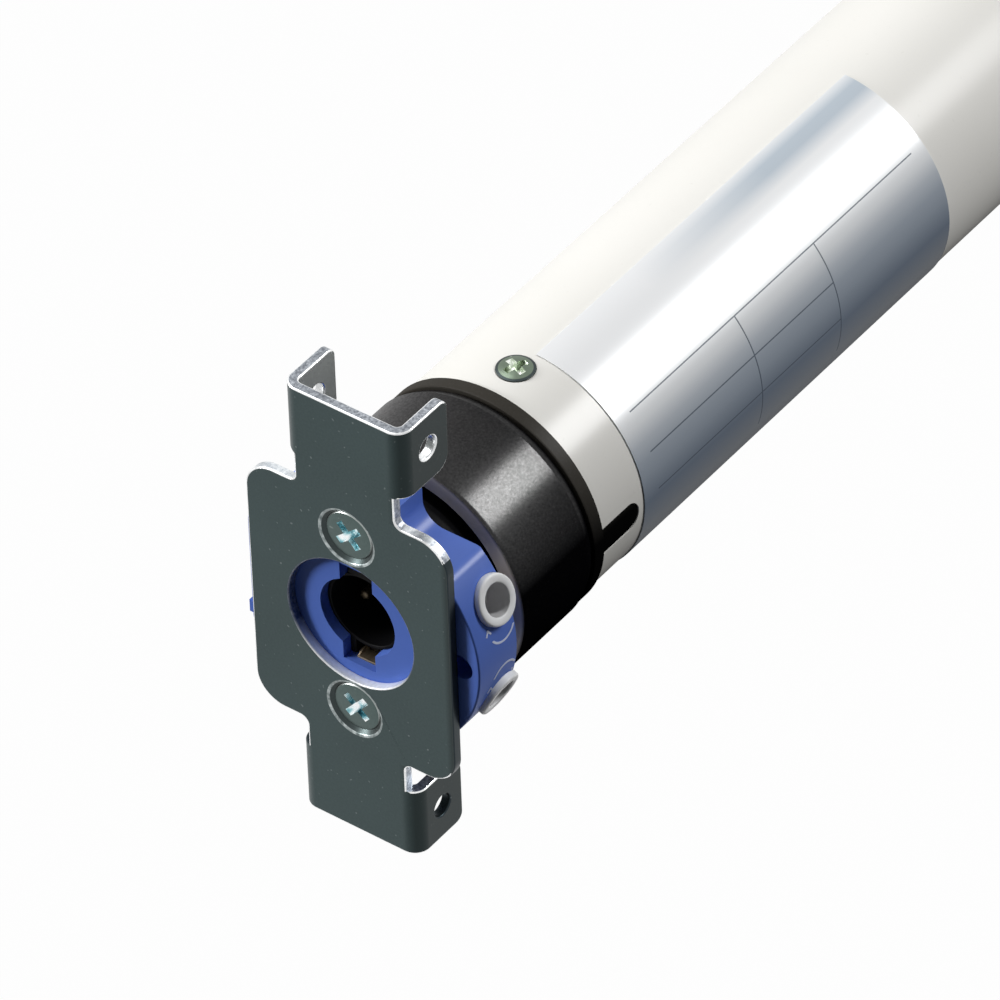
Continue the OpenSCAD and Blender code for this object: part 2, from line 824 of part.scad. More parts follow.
// Y and Z of the adjusting rods
function rod_y() = -rod_reach * sin(angle_up - atan(wheel_side / wheel_s));
function rod_z() = rod_reach * cos(angle_up - atan(wheel_side / wheel_s));

module switch_carriage(x, side) {
    color("lightgray")
    mirror([0, 0, side > 0 ? 0 : 1])
    difference() {
        translate([x - carriage_l / 2, rod_y() - carriage_w / 2, rod_z() - carriage_w / 2])
            cube([carriage_l, carriage_w, carriage_w]);
        at(rod_y(), rod_z()) bar(x - carriage_l, 2 * carriage_l, rod_r + run);
    }
}
module switch_carriage_up() {
    switch_carriage(carriage_up_x, 1);
}
module switch_carriage_down() {
    switch_carriage(carriage_down_x, -1);
}

// A snap switch on the carriage's inner side, with its button towards the nut
module limit_switch(x, side) {
    switch_y = rod_y() + carriage_w / 2;
    switch_w = spindle_y - nut_w / 2 - switch_y - 0.7;
    color("black")
    mirror([0, 0, side > 0 ? 0 : 1]) {
        translate([x - carriage_l / 2, switch_y, rod_z() - 3]) cube([carriage_l, switch_w, 6]);
        translate([x - 1, switch_y, rod_z() - 1]) cube([2, switch_w + 0.4, 2]);
    }
}
module limit_switch_up() {
    limit_switch(carriage_up_x, 1);
}
module limit_switch_down() {
    limit_switch(carriage_down_x, -1);
}

module terminal_board() {
    color("darkgreen")
    difference() {
        bar(board_x, board_t, inner_r);
        for (i = [-1.5 : 1.5])
            at(motor_lead_y, i * motor_lead_gap) bar(board_x - over, board_t + 2 * over, lead_r + fixed);
    }
}

module lead_wires() {
    start = gear_band_x - 3.4;
    color("firebrick") {
        for (sz = [-1, 1])
            at(lead_y, sz * lead_z) bar(start, board_x - start, lead_r);
        at(lead_y / 3, lead_z) bar(start, board_x - start, lead_r);
        for (i = [-1.5 : 1.5])
            at(motor_lead_y, i * motor_lead_gap) bar(board_x, stator_x - 3 - board_x, lead_r);
    }
}

module capacitor() {
    color("lightyellow")
    bar(sleeve_x + sleeve_lip, capacitor_l, capacitor_r);
}
module capacitor_sleeve() {
    color("gray")
    difference() {
        bar(sleeve_x, capacitor_l + 2 * sleeve_lip, inner_r);
        bar(sleeve_x + sleeve_lip, capacitor_l, capacitor_r + fixed);
        bar(sleeve_x - over, capacitor_l + 4 * sleeve_lip, capacitor_r - 3);
        lead_slot(sleeve_x - over, capacitor_l + 4 * sleeve_lip);
    }
}
// Slot along the tube's +Y side in which the motor leads lie
module lead_slot(x, l) {
    slot_half = 1.5 * motor_lead_gap + lead_r + 0.2;
    translate([x, motor_lead_y - lead_r - 0.1, -slot_half]) cube([l, tube_r, 2 * slot_half]);
}

module brake_plate() {
    color("dimgray")
    difference() {
        ring(brake_x, brake_plate_t, inner_r, shaft_r + 2);
        lead_slot(brake_x - over, brake_plate_t + 2 * over);
    }
}
module brake_disc() {
    disc_r = motor_lead_y - lead_r - 1;
    color("darkslategray")
    ring(brake_x + brake_plate_t + 0.05, brake_disc_t, disc_r, shaft_r + run);
}
module brake_spring() {
    start = brake_x + brake_plate_t + brake_disc_t + brake_stroke + 0.1;
    color("silver")
    ring(start, brake_collar_x() - 0.1 - start, shaft_r + 1.4, shaft_r + 0.3);
}
// Front face of the collar on the rotor shaft that backs the spring
function brake_collar_x() = front_shield_x - 2.2;

module shield(x) {
    color("silver")
    difference() {
        bar(x, shield_t, inner_r);
        bar(x - over, shield_t + 2 * over, shaft_r + bearing_wall + fixed);
        if (x < stator_x) lead_slot(x - over, shield_t + 2 * over);
    }
}
module front_shield() {
    shield(front_shield_x);
}
module rear_shield() {
    shield(rear_shield_x);
}
module rotor_bearings() {
    color("goldenrod") {
        ring(front_shield_x, shield_t, shaft_r + bearing_wall, shaft_r + run);
        ring(rear_shield_x, shield_t, shaft_r + bearing_wall, shaft_r + run);
    }
}

// Radii that the slots of the stator and the bars of the winding share
function slot_r() = min(1.5, 0.8 * PI * slot_ring() / stator_slots / 2);
function slot_ring() = rotor_r + air_gap + 2.6;

module stator_core() {
    color("gray")
    difference() {
        ring(stator_x, stator_l, inner_r, rotor_r + air_gap);
        for (i = [0 : stator_slots - 1])
            rotate([360 * i / stator_slots, 0, 0]) {
                at(0, slot_ring()) bar(stator_x - over, stator_l + 2 * over, slot_r() + fixed);
                translate([stator_x - over, -0.6, rotor_r]) cube([stator_l + 2 * over, 1.2, slot_ring() - rotor_r]);
            }
    }
}
module stator_windings() {
    inner = slot_ring() - slot_r();
    outer = min(slot_ring() + slot_r() + 0.6, motor_lead_y - lead_r - 0.3);
    color("peru") {
        for (i = [0 : stator_slots - 1])
            rotate([360 * i / stator_slots, 0, 0])
                at(0, slot_ring()) bar(stator_x - 1, stator_l + 2, slot_r());
        ring(stator_x - winding_l, winding_l, outer, inner);
        ring(stator_end, winding_l, outer, inner);
    }
}

function cage_ring() = rotor_r - 1.2;
cage_bar_r = 0.7;
cage_end_l = 3;

module rotor_core() {
    color("gray")
    difference() {
        ring(stator_x, stator_l, rotor_r, shaft_core_r + fixed);
        for (i = [0 : cage_bars - 1])
            rotate([360 * i / cage_bars, 0, 0])
                at(0, cage_ring()) bar(stator_x - over, stator_l + 2 * over, cage_bar_r + fixed);
    }
}
module rotor_cage() {
    color("lightgray") {
        for (i = [0 : cage_bars - 1])
            rotate([360 * i / cage_bars, 0, 0])
                at(0, cage_ring()) bar(stator_x - 1, stator_l + 2, cage_bar_r);
        ring(stator_x - cage_end_l, cage_end_l, rotor_r - 0.2, shaft_core_r + 0.2);
        ring(stator_end, cage_end_l, rotor_r - 0.2, shaft_core_r + 0.2);
    }
}
module rotor_shaft() {
    start = brake_x + 0.5;
    core_start = stator_x - cage_end_l;
    color("silver") {
        bar(start, gear_x - start, shaft_r);
        bar(core_start, stator_l + 2 * cage_end_l, shaft_core_r);
        bar(brake_collar_x(), 1.8, shaft_r + 1.6);
        bar(gear_x - over, stage1_x + stage_w1 - gear_x + over, sun_bore_r());
    }
}
// Radius of the stub on which a sun gear is pressed
function sun_bore_r() = (sun_r - gear_mod * tooth_root) / 2;

// A sun gear over a stub: from x, w wide, bored where it takes a stub
module sun_gear(x, w) {
    color("slategray")
    difference() {
        slab(x, w) gear2d(gear_mod, sun_teeth);
        bar(x - over, w + 2 * over, sun_bore_r() + fixed);
    }
}
module sun_gear_1() {
    sun_gear(stage1_x - 0.5, stage_w1 + 0.5);
}
module sun_gear_2() {
    sun_gear(carrier1_x + carrier_t, stage_w2 + loose);
}
module sun_gear_3() {
    sun_gear(carrier2_x + carrier_t, stage_w3 + loose);
}

// A carrier disc with three pins to its front and a stub for the next sun gear
module carrier(x, t, planets_x, stub_l) {
    bar(x, t, carrier_r);
    for (a = [0, 120, 240])
        rotate([a, 0, 0]) at(orbit_r, 0) bar(planets_x, x - planets_x + 0.5, pin_r);
    if (stub_l > 0) bar(x, t + stub_l, sun_bore_r());
}
module carrier_1() {
    color("lightslategray") carrier(carrier1_x, carrier_t, stage1_x, stage_w2 + loose);
}
module carrier_2() {
    color("lightslategray") carrier(carrier2_x, carrier_t, stage2_x, stage_w3 + loose);
}

module planet(x, w, i) {
    color(i == 0 ? "tan" : "burlywood")
    at(orbit_r * cos(120 * i), orbit_r * sin(120 * i))
    difference() {
        slab(x, w) gear2d(gear_mod, planet_teeth, planet_turn(120 * i));
        bar(x - over, w + 2 * over, pin_r + run);
    }
}
// Turn of a planet at angle a that puts it in mesh with a sun gear that stands at 0
function planet_turn(a) = a + 180 - (0.5 - a * sun_teeth / 360) * 360 / planet_teeth;
module planet_1a() {
    planet(stage1_x, stage_w1, 0);
}
module planet_1b() {
    planet(stage1_x, stage_w1, 1);
}
module planet_1c() {
    planet(stage1_x, stage_w1, 2);
}
module planet_2a() {
    planet(stage2_x, stage_w2, 0);
}
module planet_2b() {
    planet(stage2_x, stage_w2, 1);
}
module planet_2c() {
    planet(stage2_x, stage_w2, 2);
}
module planet_3a() {
    planet(stage3_x, stage_w3, 0);
}
module planet_3b() {
    planet(stage3_x, stage_w3, 1);
}
module planet_3c() {
    planet(stage3_x, stage_w3, 2);
}

module ring_gear() {
    color("darkgray")
    difference() {
        bar(gear_x, cap_x - gear_x, inner_r);
        slab(gear_x - over, cap_x - gear_x + 2 * over) ring_hole2d(gear_mod, ring_teeth);
    }
}

module output_shaft() {
    groove_x = cap_end + 0.25;
    color("silver")
    difference() {
        union() {
            carrier(output_x, output_disc_t, stage3_x, 0);
            bar(output_x, drive_x - output_x, output_r);
            bar(drive_x - over, drive_l - 0.8 + over, drive_r);
            cone(drive_x + drive_l - 0.8, 0.8, drive_r, drive_r - 0.8);
        }
        ring(groove_x, clip_t + 0.1, output_r + over, output_r - 0.8);
        translate([drive_x, -drive_r, drive_r * drive_flat]) cube([drive_l + over, drive_d, drive_r]);
    }
}
module shaft_clip() {
    color("silver")
    difference() {
        ring(cap_end + 0.3, clip_t, output_r + 1.6, output_r - 0.7);
        translate([cap_end, -2.5, 0]) cube([2 * clip_t, 5, tube_r]);
    }
}
module output_bearing() {
    color("goldenrod")
    ring(bearing_x, bearing_l, output_r + bearing_wall, output_r + run);
}
module end_cap() {
    color("black")
    difference() {
        union() {
            bar(cap_x, tube_end - cap_x, inner_r);
            bar(tube_end, cap_flange_t, tube_r);
        }
        bar(cap_x - over, cap_end - cap_x + 2 * over, output_r + 0.2);
        bar(cap_x - over, cap_bore_x - cap_x + over, output_r + bearing_wall + fixed);
        for (a = [0, 120, 240])
            radial(a) translate([end_screw_x, 0, tube_r - end_screw_l - 0.3]) cylinder(h = tube_r, r = m3_r + fixed);
    }
}

bracket_plate();
bracket_screws();
head_cover();
head_core();
socket_insert();
socket_contacts();
adjuster_up();
adjuster_down();
adjust_rod_up();
adjust_rod_down();
crown_ring();
tube_flange();
motor_tube();
tube_screws();
rating_label();
limit_frame();
limit_pinion();
limit_spindle_up();
limit_spindle_down();
limit_nut_up();
limit_nut_down();
switch_carriage_up();
switch_carriage_down();
limit_switch_up();
limit_switch_down();
terminal_board();
lead_wires();
capacitor();
capacitor_sleeve();
brake_plate();
brake_disc();
brake_spring();
front_shield();
stator_core();
stator_windings();
rotor_core();
rotor_cage();
rotor_shaft();
rotor_bearings();
rear_shield();
ring_gear();
sun_gear_1();
sun_gear_2();
sun_gear_3();
carrier_1();
carrier_2();
planet_1a();
planet_1b();
planet_1c();
planet_2a();
planet_2b();
planet_2c();
planet_3a();
planet_3b();
planet_3c();
output_shaft();
output_bearing();
end_cap();
shaft_clip();
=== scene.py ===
import bpy, bmesh, json, math
from contextlib import contextmanager
from mathutils import Matrix, Vector

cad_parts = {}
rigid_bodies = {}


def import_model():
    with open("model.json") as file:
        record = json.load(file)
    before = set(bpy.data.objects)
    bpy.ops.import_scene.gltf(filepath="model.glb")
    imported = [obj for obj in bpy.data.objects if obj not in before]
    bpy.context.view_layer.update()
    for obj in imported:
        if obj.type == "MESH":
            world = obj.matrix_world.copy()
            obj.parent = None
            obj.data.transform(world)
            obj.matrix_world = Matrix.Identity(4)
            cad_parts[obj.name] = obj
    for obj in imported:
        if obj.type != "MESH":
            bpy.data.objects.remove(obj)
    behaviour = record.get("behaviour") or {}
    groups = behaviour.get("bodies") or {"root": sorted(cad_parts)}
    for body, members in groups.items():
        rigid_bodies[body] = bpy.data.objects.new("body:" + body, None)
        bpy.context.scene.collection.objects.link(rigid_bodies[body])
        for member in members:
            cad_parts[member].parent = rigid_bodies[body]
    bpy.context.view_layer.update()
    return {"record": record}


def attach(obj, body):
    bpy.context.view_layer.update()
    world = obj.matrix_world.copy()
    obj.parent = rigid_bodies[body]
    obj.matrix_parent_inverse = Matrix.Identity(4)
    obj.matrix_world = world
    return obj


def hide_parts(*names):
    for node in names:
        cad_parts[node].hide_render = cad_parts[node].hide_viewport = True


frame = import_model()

mm = 0.001  # tables, profiles and tests are in millimetres, meshes and finishes in metres


class Sizes(dict):
    # a piece's table, whose rows are read as attributes
    __getattr__ = dict.__getitem__


# Tools for the bench: picking, placing, turning, cutting and smoothing

def clearPick():
    if bpy.context.object and bpy.context.object.mode != "OBJECT":
        bpy.ops.object.mode_set(mode="OBJECT")
    bpy.ops.object.select_all(action="DESELECT")


def only(piece):
    clearPick()
    piece.select_set(True)
    bpy.context.view_layer.objects.active = piece


@contextmanager
def shaping(piece):
    # the lines inside work on the piece in edit mode
    only(piece)
    bpy.ops.object.mode_set(mode="EDIT")
    yield
    bpy.ops.object.mode_set(mode="OBJECT")


def fixPlace(piece, place=None):
    only(piece)
    if place is not None:
        piece.matrix_world = place
    bpy.ops.object.transform_apply(location=True, rotation=True, scale=True)
    return piece


def moved(x=0, y=0, z=0):
    return Matrix.Translation((x * mm, y * mm, z * mm))


def rolled(degrees, axis="X"):
    return Matrix.Rotation(math.radians(degrees), 4, axis)


def radialPlace(x, angle):
    # stands a piece made along X on the tube, at an angle from +Z towards -Y
    return rolled(angle) @ moved(x) @ rolled(-90, "Y")


def choose(kind, test):
    # in edit mode, selects the corners, edges or faces that pass; the test is given the middle and the element
    bpy.ops.mesh.select_mode(type=kind)
    bpy.ops.mesh.select_all(action="DESELECT")
    shape = bmesh.from_edit_mesh(bpy.context.object.data)
    shape.normal_update()
    picked = 0
    for part in {"VERT": shape.verts, "EDGE": shape.edges, "FACE": shape.faces}[kind]:
        corners = [part] if kind == "VERT" else part.verts
        if test(sum((v.co for v in corners), Vector()) / len(corners) / mm, part):
            part.select_set(True)
            picked += 1
    bmesh.update_edit_mesh(bpy.context.object.data)
    return picked


def near(value, wanted, slack=0.02):
    return abs(value - wanted) < slack


def closeUp(slack):
    # in edit mode, merges doubles and turns the faces outwards
    bpy.ops.mesh.select_all(action="SELECT")
    bpy.ops.mesh.remove_doubles(threshold=slack)
    bpy.ops.mesh.normals_make_consistent(inside=False)


def block(name, first, second):
    # a box between two corners
    low, high = zip(*(sorted(pair) for pair in zip(first, second)))
    clearPick()
    bpy.ops.mesh.primitive_cube_add(size=1, location=[(a + b) / 2 * mm for a, b in zip(low, high)])
    piece = bpy.context.object
    piece.name = name
    piece.scale = [(b - a) * mm for a, b in zip(low, high)]
    return fixPlace(piece)


def turned(name, profile, sides=128):
    # a shape of revolution round X: a ring is drawn out and resized for each (x, radius) corner,
    # and a corner's third number is its chamfer
    corners = []
    for i, (x, r, *cut) in enumerate(profile):
        if not cut:
            corners.append((x, r))
            continue
        for toX, toR in (profile[i - 1][:2], profile[i + 1][:2]):
            share = cut[0] / math.hypot(toX - x, toR - r)
            corners.append((x + (toX - x) * share, r + (toR - r) * share))
    tiny = 0.002
    rings = [(x * mm, max(r, tiny) * mm) for x, r in corners]
    nowX, nowR = rings[0]
    clearPick()
    bpy.ops.mesh.primitive_circle_add(vertices=sides, radius=nowR, location=(nowX, 0, 0), rotation=(0, math.pi / 2, 0))
    piece = bpy.context.object
    piece.name = name
    fixPlace(piece)
    with shaping(piece):
        bpy.ops.mesh.select_mode(type="VERT")
        bpy.ops.mesh.select_all(action="SELECT")
        for x, r in rings[1:]:
            bpy.ops.mesh.extrude_region_move(TRANSFORM_OT_translate={"value": (x - nowX, 0, 0)})
            bpy.ops.transform.resize(value=(1, r / nowR, r / nowR), center_override=(x, 0, 0))
            nowX, nowR = x, r
        closeUp(5e-6)
    return piece


def rod(name, low, high, radius, sides):
    # a round bar, mostly a tool that drills a hole
    return turned(name, [(low, 0), (low, radius), (high, radius), (high, 0)], sides)


def prism(name, fromX, toX, outline):
    # a bar along X whose outline is a list of (y, z) corners
    clearPick()
    bpy.ops.mesh.primitive_circle_add(vertices=len(outline), radius=mm, fill_type="NGON", rotation=(0, math.pi / 2, 0))
    piece = bpy.context.object
    piece.name = name
    fixPlace(piece)
    with shaping(piece):
        for index, (y, z) in enumerate(outline):
            now = bmesh.from_edit_mesh(piece.data)
            now.verts.ensure_lookup_table()
            gap = Vector((fromX * mm, y * mm, z * mm)) - now.verts[index].co
            choose("VERT", lambda c, v: v.index == index)
            bpy.ops.transform.translate(value=gap)
        choose("FACE", lambda c, f: True)
        bpy.ops.mesh.extrude_region_move(TRANSFORM_OT_translate={"value": ((toX - fromX) * mm, 0, 0)})
        closeUp(1e-7)
    return piece


def apply(piece, kind, **settings):
    # one modifier, put on and made permanent
    only(piece)
    step = piece.modifiers.new(kind.lower(), kind)
    for key, value in settings.items():
        setattr(step, key, value)
    bpy.ops.object.modifier_apply(modifier=step.name)
    return piece


def carve(piece, tool, where=None, how="DIFFERENCE"):
    if where is not None:
        fixPlace(tool, where)
    apply(piece, "BOOLEAN", operation=how, solver="EXACT", object=tool)
    bpy.data.objects.remove(tool)
    return piece


def gather(name, parts):
    # joins loose parts into one piece
    clearPick()
    for part in parts:
        part.select_set(True)
    bpy.context.view_layer.objects.active = parts[0]
    bpy.ops.object.join()
    parts[0].name = name
    return parts[0]


def bevel(width, steps, **more):
    bpy.ops.mesh.bevel(offset=width * mm, offset_type="OFFSET", segments=steps, affect="EDGES", **more)


def roundEdges(piece, test, radius, steps):
    with shaping(piece):
        if choose("EDGE", test):
            bevel(radius, steps)


def trimEdges(piece, test, width, steps, finish):
    # a narrow bevel along the sharp edges that pass the test
    with shaping(piece):
        if choose("EDGE", lambda c, e: e.is_manifold and e.calc_face_angle(0) > 0.6 and test(c, e)):
            bevel(width, steps, clamp_overlap=False, material=finish)


def cleanUp(piece):
    with shaping(piece):
        bpy.ops.mesh.select_all(action="SELECT")
        bpy.ops.mesh.remove_doubles(threshold=2e-6)
        bpy.ops.mesh.dissolve_limited(angle_limit=math.radians(0.5), use_dissolve_boundaries=False)


def soften(piece, width, angle=40):
    return apply(piece, "BEVEL", width=width * mm, segments=2, limit_method="ANGLE", angle_limit=math.radians(angle))


def smooth(piece, angle=32):
    only(piece)
    bpy.ops.object.shade_smooth_by_angle(angle=math.radians(angle))
    apply(piece, "WEIGHTED_NORMAL", keep_sharp=True)


def coat(piece, *coats):
    piece.data.materials.clear()
    for finish in coats:
        piece.data.materials.append(finish)


def paintFaces(piece, test, index):
    # the test is given a face's middle, its normal and its coat's number
    for face in piece.data.polygons:
        if test(face.center / mm, face.normal, face.material_index):
            face.material_index = index


def place(piece, name, body, slot, *nodes):
    # a piece without coats of its own gets its slot's finish
    piece.name = name
    piece.data.name = name
    if not len(piece.data.materials):
        coat(piece, finishes[slot])
    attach(piece, body)
    if nodes:
        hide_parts(*nodes)
    print("made", name, len(piece.data.polygons), "faces")


# Shader maths as sums on sockets

class Wire:
    def __init__(self, board, socket):
        self.board = board
        self.socket = socket

    def sum(self, operation, first, second):
        return self.board.node("Math", {"operation": operation}, {0: first, 1: second})

    def __add__(self, other): return self.sum("ADD", self, other)
    def __radd__(self, other): return self.sum("ADD", other, self)
    def __sub__(self, other): return self.sum("SUBTRACT", self, other)
    def __rsub__(self, other): return self.sum("SUBTRACT", other, self)
    def __mul__(self, other): return self.sum("MULTIPLY", self, other)
    def __rmul__(self, other): return self.sum("MULTIPLY", other, self)
    def __truediv__(self, other): return self.sum("DIVIDE", self, other)
    def __rtruediv__(self, other): return self.sum("DIVIDE", other, self)
    def __gt__(self, other): return self.sum("GREATER_THAN", self, other)
    def __lt__(self, other): return self.sum("LESS_THAN", self, other)
    def __abs__(self): return self.sum("ABSOLUTE", self, 0.0)


class Board:
    # the nodes of one material or world
    def __init__(self, holder):
        holder.use_nodes = True
        self.holder = holder
        self.tree = holder.node_tree
        self.point = None

    def feed(self, socket, value):
        if isinstance(value, Wire):
            self.tree.links.new(value.socket, socket)
        else:
            socket.default_value = (*value, 1) if socket.type == "RGBA" else value

    def node(self, kind, settings=None, inputs=None, out=0):
        made = self.tree.nodes.new("ShaderNode" + kind)
        for key, value in (settings or {}).items():
            if key == "stops":
                stops = made.color_ramp.elements
                while len(stops) < len(value):
                    stops.new(0.5)
                for stop, (spot, colour) in zip(stops, value):
                    stop.position = spot
                    stop.color = (*colour, 1)
            else:
                setattr(made, key, value)
        for key, value in (inputs or {}).items():
            self.feed(made.inputs[key], value)
        return Wire(self, made.outputs[out]) if len(made.outputs) else None

    def spot(self):
        if self.point is None:
            self.point = self.node("TexCoord", out="Object")
        return self.point

    def noise(self, scale, detail=3.0, rough=0.5, stretch=None):
        spot = self.node("Mapping", {}, {"Vector": self.spot(), "Scale": stretch}) if stretch else self.spot()
        return self.node("TexNoise", {}, {"Vector": spot, "Scale": scale, "Detail": detail, "Roughness": rough})

    def ramp(self, value, low, high):
        # 0 below low and 1 above high
        return self.node("MapRange", {"clamp": True}, {0: value, 1: low, 2: high, 3: 0.0, 4: 1.0})

    def blend(self, factor, first, second):
        return self.node("Mix", {"data_type": "RGBA"}, {0: factor, 6: first, 7: second}, 2)

    def axes(self):
        parts = self.node("SeparateXYZ", {}, {0: self.spot()}).socket.node.outputs
        return [Wire(self, part) for part in parts]

    def turnedUp(self, low, high):
        # 1 on the sides that face up and away from the adjusters, 0 below
        y, z = self.axes()[1:]
        return self.ramp(y * 0.342 + z * 0.94, low * mm, high * mm)

    def bump(self, height, strength, distance):
        return self.node("Bump", {}, {"Height": height, "Strength": strength, "Distance": distance})

    def seen(self):
        # 1 where a ray shows the backdrop, 0 where it lights the object
        path = self.node("LightPath").socket.node.outputs
        camera, glossy, through = [Wire(self, path["Is %s Ray" % kind])
                                   for kind in ("Camera", "Glossy", "Transmission")]
        return camera + glossy + through

    def finish(self, colour, rough, metal=0.0, normal=None, more=None):
        shader = [n for n in self.tree.nodes if n.type == "BSDF_PRINCIPLED"][0]
        given = {"Base Color": colour, "Roughness": rough, "Metallic": metal, **(more or {})}
        if normal:
            given["Normal"] = normal
        for key, value in given.items():
            self.feed(shader.inputs[key], value)
        return self.holder


def startFinish(name):
    return Board(bpy.data.materials.new(name))


def tint(colour, share):
    return tuple(min(1.0, c * share) for c in colour)


def gloss(weight, rough, base=0.0):
    # a clear coat of varying weight; base is the plain reflection under it
    return {"Specular IOR Level": base, "Coat Weight": weight, "Coat Roughness": rough}


# Finishes

def coatedSteel(name, dark, light, rough, shaded=0.0):
    # zinc with a grey-green passivation: fine specks, a few small dents and faint clouds;
    # shaded darkens the bends and the rolled side that face away from the light
    b = startFinish(name)
    y, z = b.axes()[1:]
    cloud = b.noise(55.0, 4.0, 0.55)
    grain = b.noise(2600.0, 2.0, 0.6)
    fleck = b.ramp(b.noise(1300.0, 1.0, 0.4), 0.735, 0.78)
    dent = 1.0 - b.ramp(b.node("TexVoronoi", {}, {"Vector": b.spot(), "Scale": 260.0}), 0.02, 0.05)
    rare = b.ramp(b.noise(150.0, 0.0, 0.5), 0.58, 0.64)
    tone = b.blend(b.ramp(cloud, 0.3, 0.7), dark, tint(dark, 1.16))
    tone = b.blend(b.ramp(grain, 0.35, 0.8) * 0.22, tone, tint(dark, 1.8))
    tone = b.blend(fleck * 0.22 + dent * rare * 0.35, tone, light)
    if shaded:
        bend = b.ramp(y, -6.9 * mm, -8.8 * mm) * (abs(z) > 20.8 * mm)
        side = b.ramp(y, -14.9 * mm, -16.0 * mm) * (abs(z) < 20.8 * mm)
        tone = b.blend((bend + side) * shaded, tone, tint(dark, 0.3))
    return b.finish(tone, rough + b.ramp(cloud, 0.3, 0.7) * 0.08, 0.92,
                    b.bump(grain * 0.5 - dent * rare * 1.2, 0.2, 0.00004))


def shearedSteel(name, base, bright, rough, fine=2600.0):
    # the cut edge of the sheet: fine streaks and darker patches
    b = startFinish(name)
    streak = b.noise(fine, 2.0, 0.6)
    patch = b.noise(210.0, 2.0, 0.5)
    tone = b.blend(b.ramp(streak, 0.35, 0.7), base, bright)
    tone = b.blend(b.ramp(patch, 0.50, 0.68) * 0.5, tone, tint(base, 0.4))
    return b.finish(tone, rough, 0.9, b.bump(streak, 0.25, 0.00005))


def holeSteel():
    # the wall of the big hole: a painted reflection of the blue head on its upper side and a near-white painted
    # highlight on its lower side
    b = startFinish("holeEdge")
    z = b.axes()[2]
    streak = b.noise(1800.0, 2.0, 0.6)
    tone = b.blend(b.ramp(z, -4.0 * mm, -8.0 * mm), (0.03, 0.05, 0.11), (0.90, 0.92, 0.94))
    tone = b.blend(b.ramp(streak, 0.4, 0.7) * 0.3, tone, (0.5, 0.53, 0.56))
    return b.finish(tone, 0.28, 0.15, b.bump(streak, 0.2, 0.00004))


def groundSteel(name, tone, rough, around=True):
    # turned or ground steel: fine lines round the axis or along it
    b = startFinish(name)
    line = b.noise(1400.0, 4.0, 0.6, (2.6, 0.05, 0.05) if around else (0.05, 2.6, 2.6))
    cloud = b.noise(90.0, 3.0, 0.5)
    lined = b.ramp(line, 0.3, 0.7)
    colour = b.blend(lined, tint(tone, 0.86), tone)
    colour = b.blend(b.ramp(cloud, 0.35, 0.7) * 0.3, colour, tint(tone, 0.8))
    return b.finish(colour, rough + lined * 0.1, 1.0, b.bump(line, 0.15, 0.00003))


def moulded(name, tone, rough, grainSize=1800.0, grainDepth=0.2, shine=0.5, spread=0.12, wear=None):
    # moulded plastic: faint flow clouds and the mould's fine grain
    b = startFinish(name)
    cloud = b.noise(70.0, 3.0, 0.5)
    grain = b.noise(grainSize, 3.0, 0.65)
    colour = b.blend(b.ramp(cloud, 0.3, 0.7), tint(tone, 1 - spread), tint(tone, 1 + spread))
    if wear:
        colour = b.blend(b.ramp(grain, 0.56, 0.72) * 0.5, colour, wear)
    return b.finish(colour, rough + b.ramp(grain, 0.3, 0.7) * 0.08, 0.0,
                    b.bump(grain, grainDepth, 0.00003), {"Specular IOR Level": shine})


def headPlastic():
    # blue moulded plastic, glossier on its upper edges than on its sides
    b = startFinish("headBlue")
    x = b.axes()[0]
    cloud = b.noise(70.0, 3.0, 0.5)
    grain = b.noise(2400.0, 3.0, 0.65)
    tone = b.blend(b.ramp(cloud, 0.3, 0.7), (0.088, 0.166, 0.545), (0.099, 0.184, 0.60))
    sheen = b.turnedUp(2, 6) * (x > 1.8 * mm) * 0.5
    return b.finish(tone, 0.42, 0.0, b.bump(grain, 0.12, 0.00003), gloss(sheen, 0.33, 0.08))


def crownPlastic():
    # black glass-filled plastic: a fine grain that sparkles in the light, painted light as brown-grey blotches on the
    # +Y side, a front rim painted pale grey as a painted highlight, and more gloss towards the front
    b = startFinish("crownBlack")
    x, y = b.axes()[:2]
    grain = b.noise(2900.0, 3.0, 0.7)
    blotch = b.noise(160.0, 4.0, 0.6)
    # painted light: brown-grey blotches that fade in towards +Y
    litSideBlotch = b.ramp(y, -14 * mm, 14 * mm) * b.ramp(blotch, 0.25, 0.75)
    # painted highlight: the front rim is painted pale grey
    rimHighlight = b.ramp(x, 13.35 * mm, 13.15 * mm)
    tone = b.blend(litSideBlotch * 0.6, (0.002, 0.002, 0.0025), (0.016, 0.013, 0.012))
    tone = b.blend(b.ramp(grain, 0.58, 0.72) * 0.2, tone, (0.026, 0.024, 0.025))
    tone = b.blend(rimHighlight * 0.9, tone, (0.50, 0.44, 0.40))
    rubbed = 1.17 - b.ramp(x, 16 * mm, 31 * mm) * 0.6
    sheen = b.turnedUp(-2.5, 6.2) * (b.ramp(grain, 0.3, 0.75) * 0.5 + 0.42) * rubbed + rimHighlight * 0.8
    return b.finish(tone, 0.4, 0.0, b.bump(grain + blotch * 0.4, 0.35, 0.00007), gloss(sheen, 0.25))


def flangePlastic():
    # the flange's black, greyer on its upper side as painted light
    b = startFinish("flangeBlack")
    grain = b.noise(2600.0, 3.0, 0.7)
    side = b.turnedUp(-5, 4)
    tone = b.blend(side, (0.003, 0.003, 0.003), (0.034, 0.031, 0.026))
    tone = b.blend(b.ramp(grain, 0.5, 0.75) * 0.3 * side, tone, (0.06, 0.055, 0.05))
    return b.finish(tone, 0.42, 0.0, b.bump(grain, 0.35, 0.00005), gloss(side * 0.16, 0.4))


